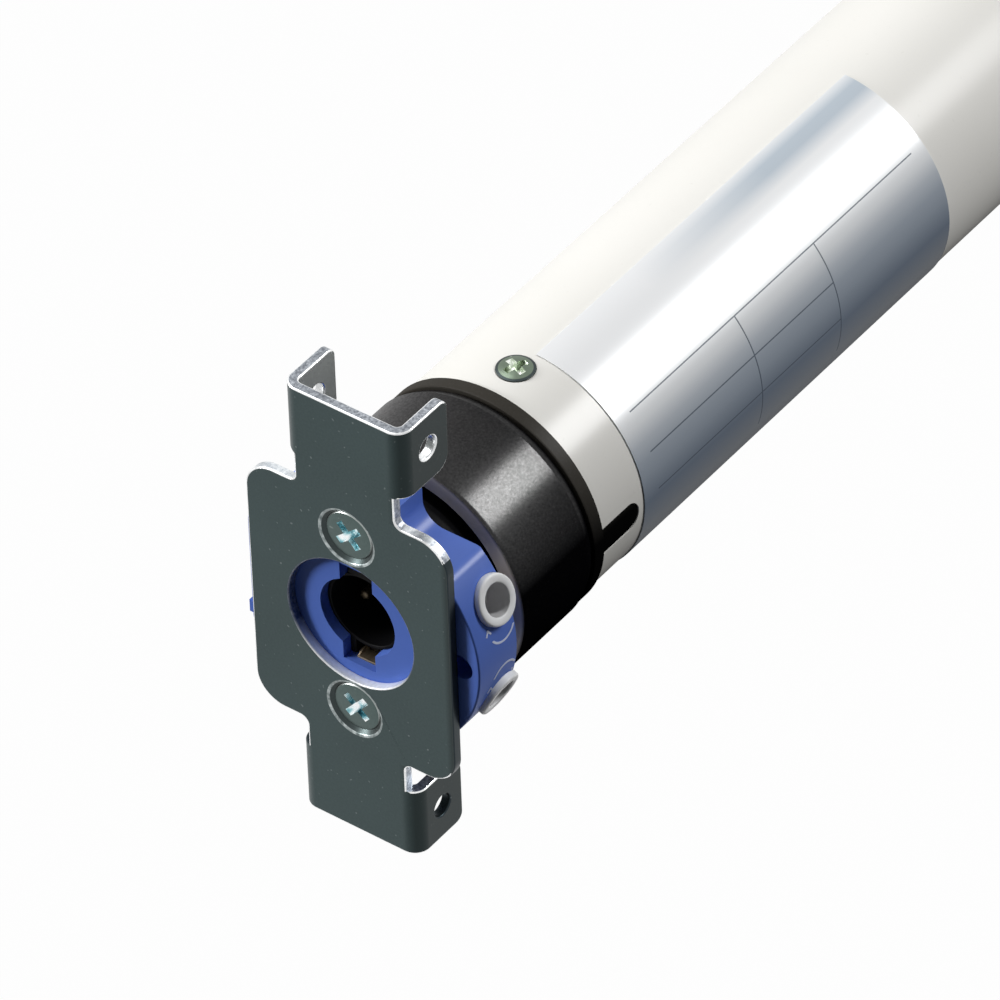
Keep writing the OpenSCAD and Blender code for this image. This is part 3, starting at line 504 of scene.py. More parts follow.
def tubePaint():
    # warm white stove enamel with a slight orange peel
    b = startFinish("tubeWhite")
    peel = b.noise(420.0, 2.0, 0.5)
    cloud = b.noise(26.0, 2.0, 0.5)
    fleck = b.ramp(b.noise(1500.0, 1.0, 0.5), 0.73, 0.78)
    tone = b.blend(b.ramp(cloud, 0.3, 0.7), (0.76, 0.75, 0.71), (0.80, 0.79, 0.755))
    tone = b.blend(fleck * 0.2, tone, (0.64, 0.63, 0.59))
    return b.finish(tone, 0.3, 0.0, b.bump(peel, 0.06, 0.00006), gloss(b.turnedUp(-3, 7) * 0.5, 0.27))


# angles run from +Z towards -Y; a rule along the tube is (angle, from, to), a rule across it (x, from, to)
labelSizes = Sizes(
    start=40.2, length=70, first=2.0, span=131.0, radius=17.53, foil=0.15, edge=0.08, rule=0.32, ruleWide=0.11,
    ruleAlong=((48.5, 43.3, 107.5), (68.5, 43.3, 84.75), (87.5, 43.3, 84.75)),
    ruleAcross=((66.7, 48.5, 107.0), (84.75, 48.5, 107.0)))


def labelFoil():
    # silver-blue foil under clear film; thin grey rules and blank panels
    b = startFinish("labelFoil")
    s = labelSizes
    x, y, z = b.axes()
    angle = b.node("Math", {"operation": "ARCTAN2"}, {0: y * -1.0, 1: z}) * (180 / math.pi)
    lines = 0.0
    for spot, low, high in s.ruleAlong:
        lines = lines + (abs(angle - spot) < s.rule) * (x > low * mm) * (x < high * mm)
    for spot, low, high in s.ruleAcross:
        lines = lines + (abs(x - spot * mm) < s.ruleWide * mm) * (angle > low) * (angle < high)
    # painted light and shade: the foil runs from near white at the top, where it catches the light, to a deep
    # silver-blue below, a painted dark reflection
    tone = b.node("ValToRGB", {"stops": (
        (0.0, (0.80, 0.81, 0.82)), (0.36, (0.79, 0.80, 0.81)), (0.44, (0.66, 0.68, 0.70)),
        (0.50, (0.44, 0.475, 0.52)), (0.56, (0.315, 0.355, 0.41)), (0.62, (0.265, 0.305, 0.36)),
        (0.72, (0.155, 0.19, 0.245)), (0.86, (0.25, 0.27, 0.30)))}, {0: angle / 125.0})
    # a cool patch at the far upper corner
    cool = b.ramp(angle, 1.0, 8.0) * b.ramp(angle, 20.0, 13.0) * b.ramp(x, 60 * mm, 88 * mm)
    tone = b.blend(cool * 0.85, tone, (0.40, 0.47, 0.54))
    inked = b.node("Math", {"operation": "MINIMUM"}, {0: lines, 1: 1.0}) * 0.85
    tone = b.blend(inked, tone, (0.08, 0.10, 0.13))
    return b.finish(tone, 0.3, 0.15, b.bump(b.noise(55.0, 2.0, 0.5), 0.05, 0.0001),
                    gloss(b.turnedUp(-3, 7) * 0.55, 0.24))


def crossSteel(name, dark, cool, light):
    # bright walls of a pressed cross: pale glints between cooler and darker bands
    b = startFinish(name)
    band = b.noise(650.0, 2.0, 0.5)
    glints = ((0.32, dark), (0.42, cool), (0.50, light), (0.60, (1.0, 1.0, 1.0)))
    tone = b.node("ValToRGB", {"stops": glints}, {0: band})
    return b.finish(tone, 0.25, 0.9, b.bump(band, 0.4, 0.0001))


def boardGreen():
    b = startFinish("boardGreen")
    weave = b.node("TexBrick", {}, {"Vector": b.spot(), "Scale": 900.0, "Color1": (0.03, 0.17, 0.07),
                                    "Color2": (0.035, 0.20, 0.085), "Mortar": (0.02, 0.11, 0.05)})
    return b.finish(weave, 0.38)


def layeredSteel():
    # a stack of thin sheets: fine dark lines across X
    b = startFinish("layeredSteel")
    x = b.axes()[0]
    gap = b.node("Math", {"operation": "FRACT"}, {0: x * 2000.0}) < 0.22
    rust = b.noise(120.0, 4.0, 0.6)
    tone = b.blend(b.ramp(rust, 0.4, 0.75), (0.17, 0.17, 0.18), (0.24, 0.20, 0.17))
    tone = b.blend(gap * 0.6, tone, (0.05, 0.05, 0.055))
    return b.finish(tone, 0.45, 0.8, b.bump(1.0 - gap, 0.4, 0.00005))


def woundCopper():
    b = startFinish("woundCopper")
    strand = b.noise(1100.0, 2.0, 0.5, (0.08, 1.0, 1.0))
    tone = b.blend(b.ramp(strand, 0.35, 0.65), (0.42, 0.13, 0.05), (0.75, 0.32, 0.14))
    return b.finish(tone, 0.32, 0.85, b.bump(strand, 0.6, 0.0002))


def mouthPlastic():
    # the adjusters' mouths, with painted shade: grey in their depth towards the front, paler towards the back where
    # light falls
    b = startFinish("mouthShade")
    x = b.axes()[0]
    tone = b.blend(b.ramp(x, 5.4 * mm, 7.8 * mm), (0.26, 0.26, 0.27), (0.93, 0.93, 0.94))
    return b.finish(tone, 0.5, 0.0, None, {"Specular IOR Level": 0.1})


finishes = {
    "bracket_coat": coatedSteel("bracketCoat", (0.042, 0.062, 0.063), (0.42, 0.46, 0.46), 0.34, 0.85),
    "screw_steel": groundSteel("screwZinc", (0.42, 0.45, 0.44), 0.30),
    "blue_plastic": headPlastic(),
    "black_plastic": moulded("coreBlack", (0.003, 0.003, 0.0035), 0.5, 1900.0, 0.3, 0.06, 0.15),
    "crown_plastic": crownPlastic(),
    "white_plastic": moulded("adjusterWhite", (0.86, 0.87, 0.88), 0.36, 2400.0, 0.1, 0.4, 0.03),
    "tube_paint": tubePaint(),
    "label_foil": labelFoil(),
    "contact_brass": groundSteel("contactBrass", (0.40, 0.32, 0.22), 0.40, False),
    "bronze": groundSteel("sinteredBronze", (0.50, 0.29, 0.12), 0.42),
    "steel": groundSteel("groundSteel", (0.52, 0.53, 0.55), 0.26),
    "gear_steel": groundSteel("gearSteel", (0.20, 0.20, 0.21), 0.40),
    "lamination": layeredSteel(),
    "copper": woundCopper(),
    "cage_aluminium": groundSteel("castAluminium", (0.60, 0.60, 0.62), 0.45),
    "shield_aluminium": groundSteel("turnedAluminium", (0.55, 0.56, 0.58), 0.32),
    "cream_plastic": moulded("acetalCream", (0.74, 0.63, 0.40), 0.42, 1500.0, 0.15),
    "grey_plastic": moulded("liningGrey", (0.26, 0.27, 0.28), 0.48, 1500.0, 0.15),
    "orange_plastic": moulded("nutOrange", (0.78, 0.22, 0.03), 0.42, 1500.0, 0.15),
    "board_green": boardGreen(),
    "wire_red": moulded("wireRed", (0.42, 0.02, 0.015), 0.42, 1500.0, 0.1),
    "film_yellow": moulded("filmYellow", (0.70, 0.60, 0.24), 0.30, 900.0, 0.1),
    "lining": moulded("brakeLining", (0.035, 0.038, 0.035), 0.8, 700.0, 0.6, 0.3, 0.3, (0.12, 0.10, 0.08)),
}
shearedEdge = shearedSteel("shearedEdge", (0.17, 0.185, 0.21), (0.47, 0.50, 0.54), 0.34)
# near-white steel for the bevels and the ear holes: bare cut steel, brightened into a painted highlight
edgeHighlight = shearedSteel("paintedEdgeHighlight", (0.80, 0.82, 0.83), (0.98, 0.98, 0.98), 0.24)
# painted shade for the edges turned from the light
shadedEdge = coatedSteel("shadedEdge", (0.020, 0.028, 0.032), (0.3, 0.33, 0.34), 0.36)
# painted shade for the sinks, the dimmed bevels on the side away from the light and the tube screws' outer rims
sinkShade = coatedSteel("sinkShade", (0.035, 0.045, 0.045), (0.4, 0.44, 0.44), 0.34)
# a painted highlight on the lit cut faces of the shoulders
shoulderHighlight = shearedSteel("shoulderHighlight", (0.52, 0.56, 0.60), (0.88, 0.91, 0.93), 0.30, 1600.0)
holeEdge = holeSteel()
sinkRim = shearedSteel("sinkRim", (0.14, 0.17, 0.17), (0.50, 0.55, 0.55), 0.30, 1200.0)
# the sheet's back faces painted lighter, as painted light on the ears' inner faces
paintedBackLight = coatedSteel("paintedBackLight", (0.26, 0.275, 0.27), (0.6, 0.63, 0.6), 0.36)
screwFace = coatedSteel("screwFace", (0.075, 0.105, 0.100), (0.5, 0.56, 0.54), 0.26)
screwPale = coatedSteel("screwPale", (0.13, 0.165, 0.125), (0.8, 0.84, 0.8), 0.24)
crossGlint = crossSteel("crossGlint", (0.08, 0.20, 0.24), (0.28, 0.55, 0.60), (0.80, 0.92, 0.94))
crossPale = crossSteel("crossPale", (0.16, 0.19, 0.14), (0.48, 0.55, 0.44), (0.80, 0.86, 0.76))
markInk = moulded("markInk", (0.62, 0.68, 0.86), 0.5)
# the contact pins painted dark, as painted shade deep in the socket
pinShade = groundSteel("pinShade", (0.10, 0.08, 0.055), 0.45, False)
mouthShade = mouthPlastic()
print("finishes mixed")

for part in frame["record"]["subparts"]:
    coat(bpy.data.objects[part["node"]], finishes[part["material_slot"]])


# Bracket: folded steel sheet

bracket = Sizes(
    thick=1.5, halfPlate=16.1, halfPlateHigh=20.5, plateCorner=4.5, halfNeck=7.9, innerCorner=1.2, overlap=0.3,
    earLow=25.3, earHigh=36.3, earOut=9.6, bend=2.3, earDeep=9.6, earCorner=1.4, earCornerLow=2.3,
    holeRadius=10, earHoleRadius=1.7, earHoleBack=5.4, earHoleHigh=30.9, screwHigh=14.8, sinkRadius=4.3, edge=0.22,
    shoulderFrom=14, joint=(6.9, 8.4), brightRim=0.7, dullRim=0.4)


def foldEar(sheet, side):
    # the sheet's end face is swept round the bend and drawn out
    s = bracket
    halfFlat = s.earOut - s.bend
    with shaping(sheet):
        choose("FACE", lambda c, f: f.normal.y * side > 0.9 and near(c.y, side * halfFlat))
        bpy.ops.mesh.spin(steps=10, angle=side * math.pi / 2, axis=(0, 0, 1),
                          center=(s.bend * mm, side * halfFlat * mm, 0))
        bpy.ops.mesh.extrude_region_move(TRANSFORM_OT_translate={"value": ((s.earDeep - s.bend) * mm, 0, 0)})
        closeUp(1e-6)


def makeBracket():
    s = bracket
    t, out, bend = s.thick, s.earOut, s.bend
    halfFlat = out - bend
    plate = block("plate", (0, -s.halfPlate, -s.halfPlateHigh), (t, s.halfPlate, s.halfPlateHigh))
    roundEdges(plate, lambda c, e: near(abs(c.y), s.halfPlate) and near(abs(c.z), s.halfPlateHigh), s.plateCorner, 16)
    carve(plate, block("neck", (0, -s.halfNeck, -s.earLow), (t, s.halfNeck, s.earLow)), how="UNION")
    cleanUp(plate)
    roundEdges(plate, lambda c, e: near(abs(c.y), s.halfNeck) and near(abs(c.z), s.halfPlateHigh) and near(c.x, t / 2),
               s.innerCorner, 8)
    for end in (1, -1):
        start = end * (s.earLow - s.overlap)
        flat = block("flat", (0, -halfFlat, start), (t, halfFlat, end * s.earHigh))
        for side in (1, -1):
            foldEar(flat, side)
        with shaping(flat):
            # the ear's lower edge starts where the neck ends
            choose("VERT", lambda c, v: near(c.z, start) and abs(c.y) > halfFlat + 0.001)
            bpy.ops.transform.translate(value=(0, 0, end * s.overlap * mm))
        for high, radius, steps in ((s.earHigh, s.earCorner, 8), (s.earLow, s.earCornerLow, 10)):
            roundEdges(flat, lambda c, e: near(c.x, s.earDeep) and near(c.z, end * high), radius, steps)
        carve(plate, flat, how="UNION")
    cleanUp(plate)
    carve(plate, rod("hole", -1, t + 1, s.holeRadius, 160))
    for end in (1, -1):
        sink = turned("sink", [(-1, 0), (-1, s.sinkRadius + 1), (t + 1, s.sinkRadius - t - 1), (t + 1, 0)], 96)
        carve(plate, sink, moved(0, 0, end * s.screwHigh))
        carve(plate, rod("earHole", -15, 15, s.earHoleRadius, 48),
              moved(s.earHoleBack, 0, end * s.earHoleHigh) @ rolled(90, "Z"))
    cleanUp(plate)

    coat(plate, finishes["bracket_coat"], shearedEdge, paintedBackLight, edgeHighlight, shadedEdge, sinkShade, holeEdge,
         shoulderHighlight, sinkRim)
    front, cut, back, bright, dark, sunk, wall, shoulder, rim = range(9)

    # how far a place is outside the rim of a hole
    def pastSink(c): return math.hypot(c.y, abs(c.z) - s.screwHigh) - s.sinkRadius
    def pastHole(c): return math.hypot(c.y, c.z) - s.holeRadius
    def pastEarHole(c, up): return math.hypot(c.x - s.earHoleBack, up - s.earHoleHigh) - s.earHoleRadius

    def sheetFace(c, n):
        onEar = abs(c.z) > s.earLow - 1
        if abs(n.x) > 0.98 and c.x < t + 0.01:
            return front if n.x < 0 else back
        if abs(n.y) > 0.98 and c.x > t and onEar and (near(abs(c.y), out) or near(abs(c.y), out - t)):
            return front if n.y * c.y > 0 else back
        if abs(n.z) < 0.02 and onEar and abs(c.y) > halfFlat - 0.01 and c.x < bend + 0.01:
            return front if math.hypot(c.x - bend, abs(c.y) - halfFlat) > bend - t / 2 else back
        # the ear holes' walls take the painted highlight
        if pastEarHole(c, abs(c.z)) < s.brightRim:
            return bright
        # the sinks take painted shade
        if pastSink(c) < 0:
            return sunk
        if pastHole(c) < 0.1:
            return wall
        # the shoulders' cut faces take the painted highlight
        return shoulder if c.x < t and s.earLow > abs(c.z) > s.shoulderFrom else cut

    for face in plate.data.polygons:
        face.material_index = sheetFace(face.center / mm, face.normal)
    # the narrow bevels along the edges take the near-white painted highlight; the joint of neck and ears keeps its
    # sharp edge
    low, high = s.joint
    trimEdges(plate, lambda c, e: not (near(abs(c.z), s.earLow, 0.5) and low < abs(c.y) < high), s.edge, 3, bright)
    # the rims of the sinks and of the big hole are duller, and the edges turned from the light, on the rolled side, at
    # the left joints and round the lower ear holes, get painted shade
    edges = (cut, bright, shoulder)
    for test, index in (
            (lambda c, n, now: now == bright and pastSink(c) < s.dullRim, rim),
            (lambda c, n, now: now == bright and pastHole(c) < s.dullRim, wall),
            (lambda c, n, now: now == shoulder and n.y < -0.42, cut),
            (lambda c, n, now: now in edges and near(abs(c.z), s.earLow, 0.6) and c.y > 6.8, dark),
            (lambda c, n, now: now in edges and n.y < -0.6 and n.z < 0.45 and c.y < 2.5 - s.halfPlate, dark),
            (lambda c, n, now: now == bright and n.z < 0.3 and n.y < -0.2
             and (c.y < 0.6 - s.halfPlate or c.x > s.earDeep - 0.6), sunk),
            (lambda c, n, now: now == bright and pastEarHole(c, -c.z) < s.brightRim, dark)):
        paintFaces(plate, test, index)
    smooth(plate, 40)
    place(plate, "bracketSheet", "motor", "bracket_coat", "bracket_plate")


plateScrew = Sizes(top=0.45, face=3.3, neckRadius=1.95, sink=4.25, length=10, cross=3.0, crossHalf=0.68, crossDeep=1.3)


def crossTool(reach, half, deep, turn):
    # two crossed wedges, standing along +X from the head's top, narrower at the bottom
    narrower = (1, 0.42, 0.55)
    parts = []
    for quarter in (0, 90):
        wedge = block("wedge", (-1, -reach, -half), (deep, reach, half))
        with shaping(wedge):
            choose("FACE", lambda c, f: f.normal.x > 0.9)
            bpy.ops.transform.resize(value=narrower, center_override=(deep * mm, 0, 0))
        parts.append(fixPlace(wedge, rolled(turn + quarter)))
    return carve(*parts, how="UNION")


def makePlateScrews():
    s = plateScrew
    screws = []
    for end in (1, -1):
        head = turned("screw", [
            (s.top + 0.02, 0), (s.top, 1.2), (s.top + 0.01, s.face), (s.top + 0.06, s.face + 0.2),
            (s.top + 0.18, s.sink - s.top - 0.18), (s.sink - s.neckRadius, s.neckRadius),
            (s.length, s.neckRadius, 0.4), (s.length, 0)], 96)
        coat(head, finishes["screw_steel"], crossGlint, screwFace)
        carve(head, crossTool(s.cross, s.crossHalf, s.crossDeep, 45 + end * 4), moved(s.top))
        paintFaces(head, lambda c, n, now: s.top + 0.03 < c.x < s.top + s.crossDeep + 0.05
                   and math.hypot(c.y, c.z) < 2.7, 1)
        paintFaces(head, lambda c, n, now: c.x < s.top + 0.05 and now == 0, 2)
        screws.append(fixPlace(head, moved(0, 0, end * bracket.screwHigh)))
    both = gather("plateScrews", screws)
    smooth(both, 30)
    place(both, "plateScrews", "motor", "screw_steel", "bracket_screws")


makeBracket()
makePlateScrews()


# Blue head with its cable socket

head = Sizes(
    front=1.5, back=9.8, radius=19.5, flat=17.3, lug=((1.56, 16.8, -8), (4, 17.9, -6)), blockHalf=4.9,
    notchHigh=13.3, notchInner=3.4, notchOuter=2.2, bore=6, keyHalf=2.6, keyReach=8.2, nickOut=16.5, nick=1.9,
    nickDeep=2.5, sinkEnd=2.3, screwHole=2, edge=0.28, outside=25)
adjuster = Sizes(
    back=7.3, angles=(66, 114), collar=3.5, mouth=2.25, bottom=13.2, top=20.2, mouthDeep=4, mouthFloor=1.85,
    hexDeep=6, hexFrom=4.2, hex=1.732, lip=0.35, wormLow=6.6, wormCore=1.15, wormTip=1.95,
    wormLead=0.4 * math.pi, wormMid=9.165, wormTurns=3, threadHalf=0.38, threadTip=0.29, threadSunk=0.15, rodSide=4,
    wheelRooms=((6.3, 3.07), (4.3, 1.3)))


def rodPlace(angle):
    # the axis of the adjusting rod beside an adjuster's worm
    return rolled(angle) @ moved(0, adjuster.rodSide if angle < 90 else -adjuster.rodSide, adjuster.wormMid)


def makeHead():
    h, a, e = head, adjuster, head.edge
    body = turned("head", [
        (h.front, 0), (h.front, h.radius - e), (h.front + e * 0.13, h.radius - e * 0.5),
        (h.front + e * 0.5, h.radius - e * 0.13), (h.front + e, h.radius), (h.back, h.radius, e), (h.back, 0)], 256)
    low, high = h.front - 1, h.back + 1
    quarters = [(y, z) for y in (1, -1) for z in (1, -1)]
    carve(body, block("side", (low, h.flat, -h.outside), (high, h.outside, h.outside)))
    for sideY, sideZ in quarters:
        y, z = sideY * h.blockHalf, sideZ * h.notchHigh
        notch = block("notch", (low, y, z), (high, sideY * h.outside, sideZ * h.outside))
        roundEdges(notch, lambda c, e: near(c.y, y) and near(c.z, z) and near(c.x, (low + high) / 2),
                   h.notchInner, 14)
        carve(body, notch)
    cleanUp(body)
    # the notches' outer corners: a wedge less a round bar is taken off
    r, reach = h.notchOuter, 9
    centreZ = h.notchHigh - r
    centreY = math.sqrt((h.radius - r) ** 2 - centreZ ** 2)
    far = 1 + reach / (h.radius - r)
    for sideY, sideZ in quarters:
        y, z = sideY * centreY, sideZ * centreZ
        pastY, pastZ = y + sideY * reach, z + sideZ * reach
        wedge = prism("wedge", low, high, [(y, z), (y, pastZ), (pastY, pastZ), (y * far, z * far)])
        carve(wedge, rod("bar", low - 1, high + 1, r, 96), moved(0, y, z))
        carve(body, wedge)
    carve(body, rod("bore", low, high, h.bore, 128))
    for end in (1, -1):
        carve(body, block("keyway", (low, -h.keyHalf, 0), (high, h.keyHalf, end * h.keyReach)))
        sink = turned("sink", [(low, 0), (low, bracket.sinkRadius - low), (h.sinkEnd, h.screwHole), (high, h.screwHole),
                               (high, 0)], 64)
        carve(body, sink, moved(0, 0, end * bracket.screwHigh))
    carve(body, rod("nick", low, h.front + h.nickDeep, h.nick, 48), moved(0, -h.nickOut))
    for angle in a.angles:
        carve(body, rod("well", a.bottom - 0.1, h.outside, a.collar + 0.06, 96), radialPlace(a.back, angle))
        carve(body, rod("wormRoom", a.wormLow - 0.1, 20, a.wormTip + 0.15, 48), radialPlace(a.back, angle))
        for start, radius in a.wheelRooms:
            carve(body, rod("wheelRoom", start, high, radius, 48), rodPlace(angle))
    carve(body, block("lug", *h.lug), how="UNION")
    cleanUp(body)
    smooth(body, 40)
    place(body, "blueHead", "motor", "blue_plastic", "head_cover")


# a dash is (along, across, turn), seen from its adjuster
headMark = Sizes(
    low=19.46, high=19.53, front=1.9, back=9.5, angles=((76.5, 180), (103.5, 0)), inner=2.38, outer=2.70,
    arcFrom=1.3, halfDash=0.14, dashReach=0.5, dashes=((-2.5, 0.3, 35), (-2.9, 0.3, -35), (1.9, 0.3, 0), (0, 0.0, 90)))


def makeHeadMarks():
    # thin curved arrows and dashes printed round the adjusters
    m = headMark
    shell = turned("shell", [(m.front, m.low), (m.front, m.high), (m.back, m.high), (m.back, m.low),
                             (m.front, m.low)], 256)
    x, low, high = adjuster.back - 0.2, 18, 21
    tools = []
    for angle, turn in m.angles:
        ring = turned("arc", [(low, m.inner), (high, m.inner), (high, m.outer), (low, m.outer), (low, m.inner)], 96)
        fixPlace(ring, radialPlace(x, angle))
        carve(ring, block("half", (-4, -4, -25), (4, m.arcFrom, 25)), rolled(angle) @ moved(x) @ rolled(turn, "Z"))
        tools.append(ring)
        for along, across, turnBy in m.dashes:
            dash = block("dash", (-m.halfDash, -m.dashReach, low), (m.halfDash, m.dashReach, high))
            side = across if turn else -across
            tools.append(fixPlace(dash, rolled(angle) @ moved(x + along, side) @ rolled(turnBy, "Z")))
    marks = []
    for tool in tools:
        only(shell)
        bpy.ops.object.duplicate()
        marks.append(carve(bpy.context.object, tool, how="INTERSECT"))
    bpy.data.objects.remove(shell)
    both = gather("headMarks", marks)
    smooth(both, 40)
    coat(both, markInk)
    place(both, "headMarks", "motor", None)


def makeAdjusters():
    a = adjuster
    lip, inside = a.lip, a.top - a.mouthDeep
    for angle, label in zip(a.angles, ("up", "down")):
        collar = turned("collar", [
            (a.bottom, 0), (a.bottom, a.collar), (a.top - lip, a.collar), (a.top - lip * 0.45, a.collar - lip * 0.16),
            (a.top - lip * 0.12, a.collar - lip * 0.5), (a.top, a.collar - lip), (a.top, a.mouth + lip * 0.7),
            (a.top - lip * 0.25, a.mouth + lip * 0.2), (a.top - lip * 0.8, a.mouth), (inside, a.mouth),
            (inside - 0.4, a.mouthFloor), (inside - 0.4, 0)], 96)
        carve(collar, rod("hexKey", a.top - a.hexDeep, a.top - a.hexFrom, a.hex, 6))
        core = turned("core", [(a.wormLow, 0), (a.wormLow, a.wormCore, 0.15), (a.bottom + 0.3, a.wormCore),
                               (a.bottom + 0.3, 0)], 48)
        parts = [collar, core, wormThread(label == "up")]
        for part in parts:
            coat(part, finishes["white_plastic"], mouthShade)
        # the mouth's faces take the painted shade
        paintFaces(collar, lambda c, n, now: a.bottom + 0.3 < c.x < a.top - 0.2
                   and math.hypot(c.y, c.z) < a.mouth + 0.05, 1)
        whole = gather("adjuster", parts)
        smooth(whole, 35)
        fixPlace(whole, radialPlace(a.back, angle))
        place(whole, "limitAdjuster" + label.title(), "adjuster_" + label, "white_plastic", "adjuster_" + label)


def wormThread(flipped):
    # a wedge section swept along the worm's turns by a Screw modifier
    a = adjuster
    root = a.wormCore - a.threadSunk
    clearPick()
    bpy.ops.mesh.primitive_plane_add(size=1, location=(0, 0, 0))
    section = bpy.context.object
    section.scale = (2 * a.threadHalf * mm, (a.wormTip - root) * mm, 1)
    fixPlace(section)
    with shaping(section):
        choose("EDGE", lambda c, e: c.y > 0.3)
        bpy.ops.transform.resize(value=(a.threadTip, 1, 1), center_override=(0, 0, 0))
        bpy.ops.mesh.select_all(action="SELECT")
        start = a.wormMid - a.wormTurns * a.wormLead / 2
        bpy.ops.transform.translate(value=(start * mm, (a.wormTip + root) / 2 * mm, 0))
    apply(section, "SCREW", axis="X", angle=2 * math.pi * a.wormTurns, screw_offset=a.wormTurns * a.wormLead * mm,
          steps=96, render_steps=96, iterations=1)
    with shaping(section):
        closeUp(1e-7)
    return fixPlace(section, rolled(180 if flipped else 0))


makeHead()
makeHeadMarks()
makeAdjusters()


# Core behind the head, socket insert and contacts

core = Sizes(
    front=9.8, flange=11.8, flangeRadius=15, neck=12.32, journalFrom=19.2, journalTo=24.0, journal=15.15, neckEnd=28.8,
    spigot=12.02, end=43.1, bore=6, well=(6.6, 26, 3.7), rodHole=1.3, screwHole=2.3, tubeScrewX=36.6,
    tubeScrewHole=(10.7, 20, 1.5), pinionOut=9.6, pinionPocket=(24.2, 29.0, 4.38), pinionAxle=(21.7, 44, 1.55))


def makeCore():
    c = core
    body = turned("core", [
        (c.front, c.bore), (c.front, c.flangeRadius, 0.2), (c.flange, c.flangeRadius), (c.flange, c.neck),
        (c.journalFrom, c.neck), (c.journalFrom, c.journal), (c.journalTo, c.journal), (c.journalTo, c.neck),
        (c.neckEnd, c.neck), (c.neckEnd, c.spigot), (c.end, c.spigot, 0.3), (c.end, c.bore), (c.front, c.bore)], 192)
    for angle in adjuster.angles:
        carve(body, rod("well", *c.well, 64), radialPlace(adjuster.back, angle))
        carve(body, rod("rodHole", c.front - 1, c.end + 1, c.rodHole, 32), rodPlace(angle))
    for end in (1, -1):
        carve(body, rod("screwHole", c.front - 1, c.flange + 1, c.screwHole, 48), moved(0, 0, end * bracket.screwHigh))
    for angle in (0, 180):
        carve(body, rod("tubeScrewHole", *c.tubeScrewHole, 32), radialPlace(c.tubeScrewX, angle))
    carve(body, rod("pocket", *c.pinionPocket, 64), moved(0, c.pinionOut))
    carve(body, rod("axle", *c.pinionAxle, 48), moved(0, c.pinionOut))
    cleanUp(body)
    smooth(body)
    place(body, "headCore", "motor", "black_plastic", "head_core")


# the keyways are lined too, by ribs: a block above, and walls with a bridge below
socket = Sizes(
    front=9.8, back=23.6, liner=3.0, radius=5.95, wall=0.5, core=2.4, coreOut=4.95, coreDeep=3, pinOut=3.6, pin=0.7,
    pinHole=0.75, pinFrom=6.8, pinTo=16.8, ribSoft=0.12,
    ribs=(((3, -2.5, 5.55), (9.6, 2.5, 8.1)), ((3, 1.6, -8.1), (9.6, 2.5, -5.3)),
          ((3, -2.5, -8.1), (9.6, -2.2, -5.3)), ((4.2, -1.1, -7.7), (9.6, 0.3, -5.9))),
    clip=((2.5, -2.0, -8.2), (9.8, 1.2, -7.85)), clipFold=-7.9, clipThick=0.3, clipSlant=0.9, clipSoft=0.07,
    clipSides=((-2.0, 0.75), (0.9, 0.55)))


def makeSocket():
    s = socket
    front, back, liner, r = s.front, s.back, s.liner, s.radius
    body = turned("insert", [
        (front, 0), (front, s.core, 0.15), (front + s.coreDeep, s.core), (front + s.coreDeep, s.coreOut),
        (front, s.coreOut, 0.15), (front, r - s.wall), (liner, r - s.wall, 0.1), (liner, r, 0.1), (back, r),
        (back, 0)], 96)
    for corners in s.ribs:
        carve(body, soften(block("rib", *corners), s.ribSoft), how="UNION")
    pins = []
    for turn in (0, 120, 240):
        around = rolled(turn) @ moved(0, 0, s.pinOut)
        carve(body, rod("pinHole", front - 1, back + 1, s.pinHole, 32), around)
        pin = turned("pin", [(s.pinFrom, 0), (s.pinFrom, 0.3), (s.pinFrom + 0.15, 0.55), (s.pinFrom + 0.4, s.pin),
                             (s.pinTo, s.pin), (s.pinTo, 0)], 32)
        pins.append(fixPlace(pin, around))
    smooth(body)
    place(body, "socketInsert", "motor", "black_plastic", "socket_insert")
    # earth clip in the lower keyway: a strip with its two sides folded up
    sides = [block("clip", *s.clip)]
    for y, high in s.clipSides:
        side = block("side", (s.clip[0][0] + 0.1, y, s.clipFold), (front, y + s.clipThick, s.clipFold + high))
        with shaping(side):
            choose("VERT", lambda c, v: c.x < liner and c.z > s.clipFold + 0.1)
            bpy.ops.transform.translate(value=(s.clipSlant * mm, 0, 0))
        sides.append(side)
    for part in sides:
        cleanUp(part)
        soften(part, s.clipSoft)
    for part in pins + sides:
        coat(part, finishes["contact_brass"], pinShade)
    # the pins take the painted shade
    for pin in pins:
        paintFaces(pin, lambda c, n, now: True, 1)
    both = gather("socketContacts", pins + sides)
    smooth(both)
    place(both, "socketContacts", "motor", "contact_brass", "socket_contacts")


makeCore()
makeSocket()


# Crown ring that turns the roller tube

crown = Sizes(
    front=13.1, back=28.6, radius=18.1, bore=15.2, chamfer=1.5, taper=0.5, band=24.2, teeth=44, root=13.83, tip=12.72,
    pitchRadius=13.2, toothHalf=0.32, toothTip=0.45, edge=0.7, backEdge=0.25)


